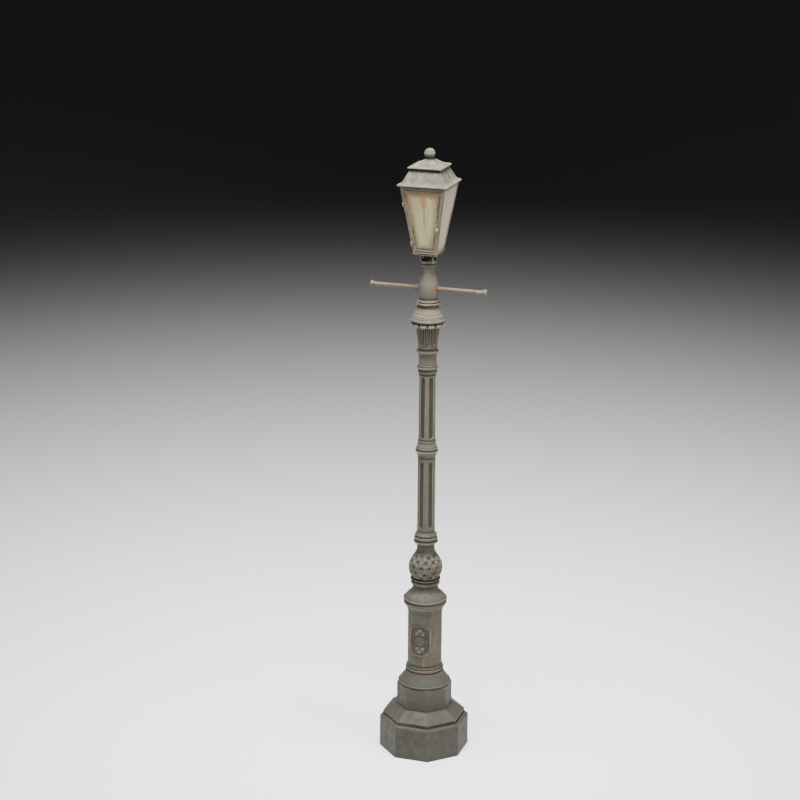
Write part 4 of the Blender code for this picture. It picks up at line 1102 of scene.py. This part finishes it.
def make_ladder_arm(side, turn):
    """One arm of the ladder bar: a shouldered root, a slim bar and a turned knob."""
    root, tip = VASE_R + 0.0008, LADDER_BAR_HALF
    outline = [(0, ARM_SPIGOT_END), (ARM_SPIGOT_R, ARM_SPIGOT_END), (ARM_SPIGOT_R, root)]
    outline += [(0.0180, root), (0.0195, root + 0.0020), (0.0195, root + 0.0065)]
    outline += [(0.0165, root + 0.0085)] + arc(0.0148, root + 0.0125, 0.0032, -60, 60, 4)
    outline += [(ARM_R, root + 0.0170), (ARM_TIP_R, tip - 0.0330)]
    outline += arc(0.0138, tip - 0.0290, 0.0030, -70, 70, 5)
    outline += [(0.0135, tip - 0.0245)]
    outline += curve_through([
        (0.0150, tip - 0.0225), (0.0205, tip - 0.0190), (ARM_KNOB_R, tip - 0.0120),
        (0.0215, tip - 0.0055), (0.0150, tip - 0.0015), (0.0070, tip - 0.0002), (0, tip),
    ], 4)
    name = f"ladder_arm_{side}"
    arm = turned(f"{name}_bar", outline, even_section(40), whole=True, spacing=0.010, soft=0.0008)
    spot = Matrix.Translation((0, 0, LADDER_BAR_Z)) @ Matrix.Rotation(turn, 4, "Y")
    fit(arm, spot, "post_paint", "post", name)


def prism(name, rows, soft=0.0):
    """Rings of points joined up, with flat ends and rounded edges."""
    bm = bmesh.new()
    verts = [[bm.verts.new(p) for p in row] for row in rows]
    count = len(verts[0])
    for low, high in zip(verts, verts[1:]):
        for k in range(count):
            bm.faces.new((low[k], low[(k + 1) % count], high[(k + 1) % count], high[k]))
    bm.faces.new(verts[0][::-1])
    bm.faces.new(verts[-1])
    return from_bmesh(name, bm, soft)


def make_frog():
    low, end = VASE_TOP + GAP, LANTERN_BOTTOM - GAP
    bore = NIPPLE_R + GAP
    hub = [(bore, low), (0.0430, low)] + curve_through([
        (0.0440, low + 0.002), (0.0500, low + 0.007), (0.0550, low + 0.014), (0.0575, low + 0.024),
    ], 4)
    hub += [(0.0560, low + 0.0255)] + curve_through([
        (0.0545, low + 0.0240), (0.0500, low + 0.0165), (0.0420, low + 0.0105), (0.0240, low + 0.0095),
    ], 4)
    hub += [(0.0175, low + 0.0120), (0.0165, low + 0.0300), (bore, low + 0.0300)]
    dress(turned("frog_hub", hub, soft=0.0008), "post_paint", "post", "frog")
    outer = curve_through([
        (0.036, 3.4565), (0.045, 3.4585), (0.0535, 3.4635), (0.0600, 3.474), (0.0625, 3.488),
        (0.0622, 3.504), (0.0595, end),
    ], 4)
    inner = curve_through([
        (0.0470, end), (0.0515, 3.503), (0.0522, 3.490), (0.0500, 3.479), (0.0450, 3.4705),
        (0.040, 3.4665), (0.034, 3.4640),
    ], 4)
    half = 0.0062
    for i in range(4):
        rows = [[(x, y, z) for x, y in outer + inner] for z in (-half, half)]
        arm = prism(f"frog_arm_{i + 1}", rows, 0.0018)
        spot = Matrix.Rotation(pi / 4 + i * pi / 2, 4, "Z") @ Matrix.Rotation(pi / 2, 4, "X")
        fit(arm, spot, "post_paint", "post", "frog")


# Lantern

def half_side(z):
    """The lantern's half side at a height, at the outside of its corner posts."""
    return FACE_BOTTOM[0] + (z - FACE_BOTTOM[1]) * (SPREAD / cos(LEAN))


def slope_height(z):
    """How far up a leaning face a height lies."""
    return (z - FACE_BOTTOM[1]) / cos(LEAN)


def face_frame(quarter):
    """The frame of one face: X across, Y up the slope, Z outwards. Quarter 0 is the front."""
    across = Vector((1, 0, 0))
    up = Vector((0, -sin(LEAN), cos(LEAN)))
    axes = Matrix((across, up, across.cross(up))).transposed().to_4x4()
    origin = Matrix.Translation((0, -FACE_BOTTOM[0], FACE_BOTTOM[1]))
    return Matrix.Rotation(quarter * pi / 2, 4, "Z") @ origin @ axes


def face_corners(low_z, high_z, inset):
    """The part of a face between two heights, in by inset from the lantern's sloping edges."""
    low, high = half_side(low_z) - inset, half_side(high_z) - inset
    bottom, top = slope_height(low_z), slope_height(high_z)
    return np.array([(-low, bottom), (low, bottom), (high, top), (-high, top)])


def make_tray():
    bore = NIPPLE_R + GAP
    base = LANTERN_BOTTOM
    outer = half_side(SILL_TOP)
    outline = [(bore, base), (0.0700, base), (0.0740, base + 0.0010)]
    outline += arc(0.0755, base + 0.0060, 0.0050, -70, 70, 7)
    outline += [(0.0762, base + 0.0115), (0.0768, base + 0.0130)]
    outline += arc(0.0788, base + 0.0175, 0.0044, -75, 75, 7)
    outline += [(outer - 0.0012, base + 0.0225), (outer + 0.0004, base + 0.0240), (outer, SILL_TOP)]
    outline += [(outer - 0.010, SILL_TOP), (FACE_BOTTOM[0] - 0.008, base + 0.006), (bore, base + 0.006)]
    square_casting("lantern_tray_sill", "lantern_tray", outline)


def make_lantern_post(name, side_x, side_y):
    """A corner post: an angle section that leans out with the faces."""
    w, t = POST_WIDTH, POST_THICKNESS
    section = softened([(0, 0), (w, 0), (w, t), (t, t), (t, w), (0, w)], 0.0007)
    heights = np.linspace(SILL_TOP + GAP, HEAD_BOTTOM - GAP, 26)
    rows = [
        [(side_x * (half_side(z) - x), side_y * (half_side(z) - y), z) for x, y in section]
        for z in heights
    ]
    dress(prism(f"{name}_angle", rows), "lantern_paint", "post", name)


def make_head_frame():
    low, high = half_side(HEAD_BOTTOM), half_side(FACE_TOP[1])
    outline = [(HEAD_INSIDE, HEAD_BOTTOM), (low - 0.0006, HEAD_BOTTOM)]
    outline += arc(low - 0.0014, HEAD_BOTTOM + 0.0032, 0.0026, -75, 75, 6)
    outline += [(low, HEAD_BOTTOM + 0.0065), (high, FACE_TOP[1]), (high, EAVE_BOTTOM)]
    outline += [(HEAD_INSIDE, EAVE_BOTTOM)]
    square_casting("lantern_head", "head_frame", outline, spacing=0.008)


def pane(name, corners, back, front):
    """A pane of glass that knows how far each of its points is from its rim."""
    across, up = 36, 56
    u, v = np.meshgrid(np.linspace(0, 1, across + 1), np.linspace(0, 1, up + 1))
    low = corners[0] * (1 - u[..., None]) + corners[1] * u[..., None]
    high = corners[3] * (1 - u[..., None]) + corners[2] * u[..., None]
    flat = low * (1 - v[..., None]) + high * v[..., None]
    width = (np.abs(corners[1][0]) * (1 - v) + np.abs(corners[2][0]) * v) * 2
    height = corners[2][1] - corners[0][1]
    rim = np.minimum(np.minimum(u, 1 - u) * width, np.minimum(v, 1 - v) * height)
    count = flat[..., 0].size
    points = [(*p, front) for p in flat.reshape(-1, 2)] + [(*p, back) for p in flat.reshape(-1, 2)]
    index = np.arange(count).reshape(up + 1, across + 1)
    quads = np.stack([index[:-1, :-1], index[:-1, 1:], index[1:, 1:], index[1:, :-1]], axis=-1)
    faces = quads.reshape(-1, 4).tolist()
    faces += (quads.reshape(-1, 4)[:, ::-1] + count).tolist()
    edge = np.concatenate([index[0, :-1], index[:-1, -1], index[-1, :0:-1], index[:0:-1, 0]])
    ahead = np.roll(edge, -1)
    faces += np.stack([ahead, edge, edge + count, ahead + count], axis=-1).tolist()
    mesh = bpy.data.meshes.new(name)
    mesh.from_pydata(points, [], faces)
    kept = mesh.attributes.new("rim", "FLOAT", "POINT")
    kept.data.foreach_set("value", np.tile(rim.ravel(), 2).astype(np.float32))
    return add_object(name, mesh)


def make_panes():
    for name, quarter in (("pane_right", 1), ("pane_back", 2), ("pane_left", 3)):
        corners = face_corners(SILL_TOP + 0.0015, HEAD_BOTTOM - 0.0015, 0.009)
        glass = pane(f"{name}_glass", corners, -0.0075, -0.0035)
        fit(glass, face_frame(quarter), "dusty_glass", "post", name)


def hinge_frame():
    """The lantern door's hinge: +Z up the sloping edge, +X towards the door, +Y inwards."""
    along = Vector((-SPREAD, 1, 0)).normalized()
    inwards = Vector((0, 0, -1))
    axes = Matrix((inwards.cross(along), inwards, along)).transposed()
    start = Matrix.Translation((-FACE_BOTTOM[0] - LANTERN_HINGE_SIDE, 0, LANTERN_HINGE_OUT))
    return face_frame(0) @ start @ axes.to_4x4()


def along_hinge(z):
    """Where on the hinge axis a height lies, measured from its start."""
    axis = hinge_frame()
    return (z - axis.translation.z) / axis.col[2].z


def latch_frame():
    """The latch's spindle: +Z outwards through the door's right stile."""
    across = half_side(LATCH_Z) - LATCH_INSET
    return face_frame(0) @ Matrix.Translation((across, slope_height(LATCH_Z), 0))


def make_lantern_door():
    low, high = SILL_TOP + 0.0035, HEAD_BOTTOM - 0.003
    edge = POST_WIDTH + 0.0015
    section = softened([
        (0, -0.006), (0, 0.0002), (0.0014, 0.0014), (0.0074, 0.0014), (0.0088, 0.0002),
        (0.0098, 0.0004), (STILE, -0.0008), (STILE, -0.006),
    ], 0.0004)
    shares = (0.0, 0.004, 0.02, 0.15, 0.35, 0.5, 0.65, 0.85, 0.98, 0.996)
    rows = []
    for inset, out in section:
        corners = face_corners(low + inset, high - inset, edge + inset)
        following = np.roll(corners, -1, 0)
        rows.append([
            (*(a * (1 - t) + b * t), out) for a, b in zip(corners, following) for t in shares
        ])
    frame_piece = loft("lantern_door_rails", np.array(rows))
    frame_piece.data.flip_normals()
    moved(frame_piece, face_frame(0))
    cut(frame_piece, moved(round_bar("latch_hole", 0.0036, -0.02, 0.02), latch_frame()))
    dress(frame_piece, "lantern_paint", "lantern_door", "lantern_door_frame")
    for label, z in zip(("lower", "upper"), LANTERN_HINGES):
        spot = hinge_frame() @ Matrix.Translation((0, 0, along_hinge(z)))
        strap = box(f"lantern_strap_{label}", (0.0035, 0.0014, 0.0015), (0.0230, 0.0038, 0.0135), 0.0007)
        fit(strap, spot, "lantern_paint", "lantern_door")
        radii = (LANTERN_PIN_R + GAP, KNUCKLE_R)
        barrel = bushing(f"lantern_barrel_{label}", radii, (GAP, KNUCKLE_LENGTH))
        fit(barrel, spot, "lantern_paint", "lantern_door")
        for i, x in enumerate((0.0105, 0.0185)):
            head = [(0, 0.0012)] + arc(0, -0.0012, 0.0031, 30, 84, 4) + [(0, 0.0019)]
            rivet = turned(f"lantern_rivet_{label}_{i + 1}", head, even_section(16), whole=True)
            towards = Matrix.Translation((x, 0.0010, 0.0075)) @ Matrix.Rotation(pi / 2, 4, "X")
            fit(rivet, spot @ towards, "lantern_paint", "lantern_door")
    corners = face_corners(low + STILE + 0.0005, high - STILE - 0.0005, edge + STILE + 0.0005)
    glass = pane("lantern_door_glass", corners, -0.005, -0.001)
    fit(glass, face_frame(0), "dusty_glass", "lantern_door", "lantern_door_pane")


def round_bar(name, radius, low, high, soft=0.0001):
    outline = [(0, low), (radius, low), (radius, high), (0, high)]
    return turned(name, outline, even_section(24), whole=True, spacing=0.01, soft=soft)


def bushing(name, radii, heights):
    (inner, outer), (low, high) = radii, heights
    outline = [(inner, low), (outer, low), (outer, high), (inner, high)]
    return turned(name, outline, even_section(28), spacing=0.004, soft=0.0005)


def make_lantern_hinges():
    """The knuckles that stay on the corner post; their pins are the frame's own."""
    for label, z in zip(("lower", "upper"), LANTERN_HINGES):
        spot = hinge_frame() @ Matrix.Translation((0, 0, along_hinge(z)))
        low = -KNUCKLE_LENGTH
        knuckle = bushing(f"hinge_knuckle_{label}", (LANTERN_PIN_R + GAP, KNUCKLE_R), (low, -GAP))
        fit(knuckle, spot, "lantern_paint", "post", f"lantern_hinge_{label}")
        leaf = box(f"hinge_leaf_{label}", (-0.0038, 0.0035, low), (-0.0003, 0.0165, -GAP), 0.0006)
        fit(leaf, spot, "lantern_paint", "post")


def make_latch():
    """A turn button: a knob outside and a cam inside, pointing down when the door is free."""
    outline = [(0, -0.012), (0.0028, -0.012), (0.0030, -0.0115), (0.003, 0.0020), (0.0078, 0.0022)]
    outline += [(0.0078, 0.0034), (0.0052, 0.0050), (0.0046, 0.0075)]
    outline += arc(0.0032, 0.0118, 0.0048, -50, 78, 7) + [(0, 0.0166)]
    knob = turned("latch_knob", outline, even_section(32), whole=True, spacing=0.01, soft=0.0004)
    fit(knob, latch_frame(), "brass", "latch", "lantern_latch")
    cam = box("latch_cam", (-0.003, -0.0105, -0.0115), (0.003, 0.003, -0.0085), 0.0006)
    fit(cam, latch_frame(), "brass", "latch")


def hip_bead(name, profile, radius, quarter):
    """A half-round roll along one hip of a roof, over an outline of (half side, height)."""
    steps = np.array(profile)
    ahead = np.gradient(steps, axis=0)
    rows = []
    for (side, z), (out, up) in zip(steps, ahead):
        along = Vector((out, -out, up)).normalized()
        across = Vector((1, 1, 0)).normalized()
        lift = along.cross(across)
        centre = Vector((side - 0.0006, -(side - 0.0006), z))
        turns = [2 * pi * k / 12 for k in range(12)]
        rows.append([centre + radius * (cos(t) * across + sin(t) * lift) for t in turns])
    fit(prism(name, rows), Matrix.Rotation(quarter * pi / 2, 4, "Z"), "lantern_paint", "post")


def make_roof():
    hole = CHIMNEY_HOLE_HALF
    low = EAVE_BOTTOM + GAP
    slope = curve_through([
        (0.1600, 4.0010), (0.1500, 4.0035), (0.1418, 4.0100), (0.1340, 4.0220), (0.1180, 4.0530),
        (0.0990, 4.0900),
    ], 5)
    outline = [(0.135, low), (0.1655, low), (EAVE_HALF, low + 0.0022)]
    outline += [(EAVE_HALF, low + 0.0065)] + arc(0.1640, low + 0.0105, 0.0035, 0, 90, 5)
    outline += slope + [(0.0965, ROOF_TOP), (hole, ROOF_TOP), (hole, ROOF_TOP - 0.0035)]
    outline += [(0.0935, ROOF_TOP - 0.0035), (0.135, 4.0060)]
    square_casting("roof_hipped", "roof", outline, spacing=0.008, soft=0.0008)

    low = ROOF_TOP + GAP
    sweep = curve_through([
        (0.1060, low + 0.0130), (0.0880, low + 0.0170), (0.0680, low + 0.0250),
        (0.0480, low + 0.0370), (0.0340, low + 0.0490), (0.0300, CAP_TOP),
    ], 5)
    outline = [(hole, low), (0.1110, low), (0.1132, low + 0.0018), (0.1135, low + 0.0075)]
    outline += arc(0.1098, low + 0.0088, 0.0037, 10, 90, 4)
    outline += sweep + [(0.0062, CAP_TOP), (0.0062, 4.138), (0.026, 4.124), (hole, 4.105)]
    square_casting("chimney_cap_pyramid", "chimney_cap", outline, soft=0.0007)
    for quarter in range(4):
        hip_bead(f"roof_hip_{quarter + 1}", slope, 0.0030, quarter)
        hip_bead(f"cap_hip_{quarter + 1}", sweep[:-3], 0.0020, quarter)

    centre = TOTAL_HEIGHT - BALL_R
    outline = [(0, 4.125), (0.0058, 4.125), (0.0058, CAP_TOP + GAP), (0.0290, CAP_TOP + GAP)]
    outline += [(0.0290, CAP_TOP + 0.0030), (0.0235, CAP_TOP + 0.0045), (0.0205, CAP_TOP + 0.0060)]
    outline += arc(0, centre, BALL_R, -53, 86, 26) + [(0, TOTAL_HEIGHT)]
    ball = turned("finial_ball", outline, even_section(64), whole=True, spacing=0.006, soft=0.0006)
    dress(ball, "lantern_paint", "post", "finial")


def make_lamp():
    floor = LAMPHOLDER_FOOT + GAP
    outline = [
        (0.005, floor), (0.0165, floor), (0.0180, floor + 0.0015), (0.0180, floor + 0.004),
        (0.0220, floor + 0.0085), (0.0220, 3.596), (0.0205, 3.5985), (0.0205, LAMPHOLDER_TOP),
        (0.0138, LAMPHOLDER_TOP), (0.0138, floor + 0.009), (0.005, floor + 0.009),
    ]
    holder = turned("lampholder_body", outline, even_section(64), spacing=0.004, soft=0.0006)
    dress(holder, "black_plastic", "post", "lampholder")
    outer = curve_through([
        (0.0145, 3.6055), (0.0155, 3.612), (0.0195, 3.626), (0.0255, 3.646), (0.0295, 3.672),
        (0.0275, 3.694), (0.0190, 3.709), (0.0090, 3.7152), (0.0, 3.716),
    ], 4)
    inner = curve_through([
        (0.0, 3.7146), (0.0085, 3.7136), (0.0180, 3.7077), (0.0262, 3.6930), (0.0281, 3.672),
        (0.0242, 3.6465), (0.0182, 3.6265), (0.0141, 3.6125), (0.0130, 3.6055),
    ], 4)
    made = shell_of_revolution("lamp_envelope_glass", inner, outer)
    dress(made, "clear_glass", "post", "lamp_envelope")


def shell_of_revolution(name, inner, outer):
    """A thin bowl: an inner and an outer outline that each reach the axis."""
    profile = inner[1:] + outer[:-1]
    first, _ = even_section(48)
    rings = np.array([[(r * x, r * y, z) for x, y in first] for r, z in profile])
    return loft(name, rings, ((0, 0, inner[0][1]), (0, 0, outer[-1][1])))


# Service door at the back of the pedestal

def radial_frame(angle, radius, z):
    """A frame on the post at an angle from +Y towards +X: Y outwards, Z up."""
    return Matrix.Rotation(-angle, 4, "Z") @ Matrix.Translation((0, radius, z))


def lock_frame():
    """The lock's spindle: +Z outwards through the service door."""
    return radial_frame(-LOCK_ANGLE, PEDESTAL_R, LOCK_Z) @ Matrix.Rotation(-pi / 2, 4, "X")


def make_service_door():
    axis = radial_frame(HINGE_ANGLE, HINGE_R, 0)
    shape = sector_bmesh((PEDESTAL_BORE, PEDESTAL_R), DOOR_Z, pi, DOOR_HALF_ANGLE, 30)
    door = from_bmesh("service_door_plate", shape, 0.0012)
    cut(door, moved(round_bar("lock_hole", LOCK_R + 0.0006, -0.03, 0.03), lock_frame()))
    dress(door, "post_paint", "access_door", "service_door")
    surface = PEDESTAL_R - HINGE_R
    for label, z in zip(("lower", "upper"), HINGE_HEIGHTS):
        low, high = z + GAP, z + 0.018
        strap = box(f"service_strap_{label}", (-0.030, surface + 0.0010, low), (-0.005, -0.004, high))
        fit(strap, axis, "post_paint", "access_door")
        foot = box(f"service_strap_foot_{label}", (-0.030, surface - 0.004, low + 0.0006),
                   (-0.0135, surface + 0.0022, high - 0.0006))
        fit(foot, axis, "post_paint", "access_door")
        barrel = bushing(f"service_barrel_{label}", (HINGE_PIN_R + 0.0006, 0.0065), (low, high))
        fit(barrel, axis, "post_paint", "access_door")
        foot_z = z - 0.006
        arm = box(f"service_bracket_{label}", (-0.0050, surface + GAP, foot_z), (0.0160, 0.0050, z), 0.001)
        fit(arm, axis, "post_paint", "post", f"service_hinge_{label}")
        plate = box(f"service_bracket_plate_{label}", (0.0085, surface + GAP, z - 0.014),
                    (0.0158, surface + 0.0052, z + 0.018), 0.001)
        fit(plate, axis, "post_paint", "post")
        pin = round_bar(f"service_pin_{label}", HINGE_PIN_R, z - 0.004, z + 0.024, 0.001)
        fit(pin, axis, "galvanised_steel", "post")
    outline = [(0, -0.0225), (LOCK_R, -0.0225), (LOCK_R, 0.001), (0.0130, 0.001), (0.0130, 0.0030)]
    outline += [(0.0118, 0.0048), (0.0100, 0.0050), (0, 0.005)]
    lock = turned("service_lock_head", outline, even_section(48), whole=True, spacing=0.006, soft=0.0005)
    socket = [(0.006 * sin(2 * pi * k / 3), 0.006 * cos(2 * pi * k / 3)) for k in range(3)]
    key = prism("key_recess", [[(x, y, z) for x, y in socket] for z in (0.002, 0.02)])
    fit(cut(lock, key), lock_frame(), "brass", "lock", "service_lock")
    cam = box("service_lock_cam", (-0.006, -0.006, -0.0225), (0.006, 0.022, -0.0185))
    fit(cam, lock_frame(), "brass", "lock")


FRAME_FINISHES = {
    "galvanised_steel": (
        "base_flange", "anchor_bolt_1", "anchor_bolt_2", "anchor_bolt_3", "anchor_bolt_4",
        "base_tube", "reducer_ring", "core_tube",
    ),
    "brass": ("lantern_nipple", "lantern_hinge_pin_lower", "lantern_hinge_pin_upper", "lamp_cap"),
    "white_enamel": ("reflector",),
    "black_plastic": ("cutout", "supply_cable"),
    "white_ceramic": ("fuse_carrier",),
    "board": ("backboard",),
}


def finish_frame_nodes():
    """Gives the CAD nodes that still show their finishes."""
    for slot, names in FRAME_FINISHES.items():
        for name in names:
            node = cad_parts[name]
            node.data.materials.clear()
            node.data.materials.append(FINISHES[slot])


make_camera()
make_studio()
make_plinth()
make_base_moulding()
make_pedestal()
make_plaque()
make_lower_castings()
make_shaft("lower_shaft", BULB_COLLAR_TOP + GAP, LOWER_SHAFT_TOP, (0.0615, 0.060), 0.028, 0.0145)
make_shaft("upper_shaft", MID_COLLAR_TOP + GAP, UPPER_SHAFT_TOP, (0.0580, 0.0560), 0.014, 0.0158)
make_collars()
make_capital()
make_neck()
make_ladder_arm("left", -pi / 2)
make_ladder_arm("right", pi / 2)
make_frog()
make_tray()
for front_back, side_y in (("front", -1), ("back", 1)):
    for left_right, side_x in (("left", -1), ("right", 1)):
        make_lantern_post(f"lantern_post_{front_back}_{left_right}", side_x, side_y)
make_head_frame()
make_panes()
make_lantern_door()
make_lantern_hinges()
make_latch()
make_roof()
make_lamp()
make_service_door()
finish_frame_nodes()
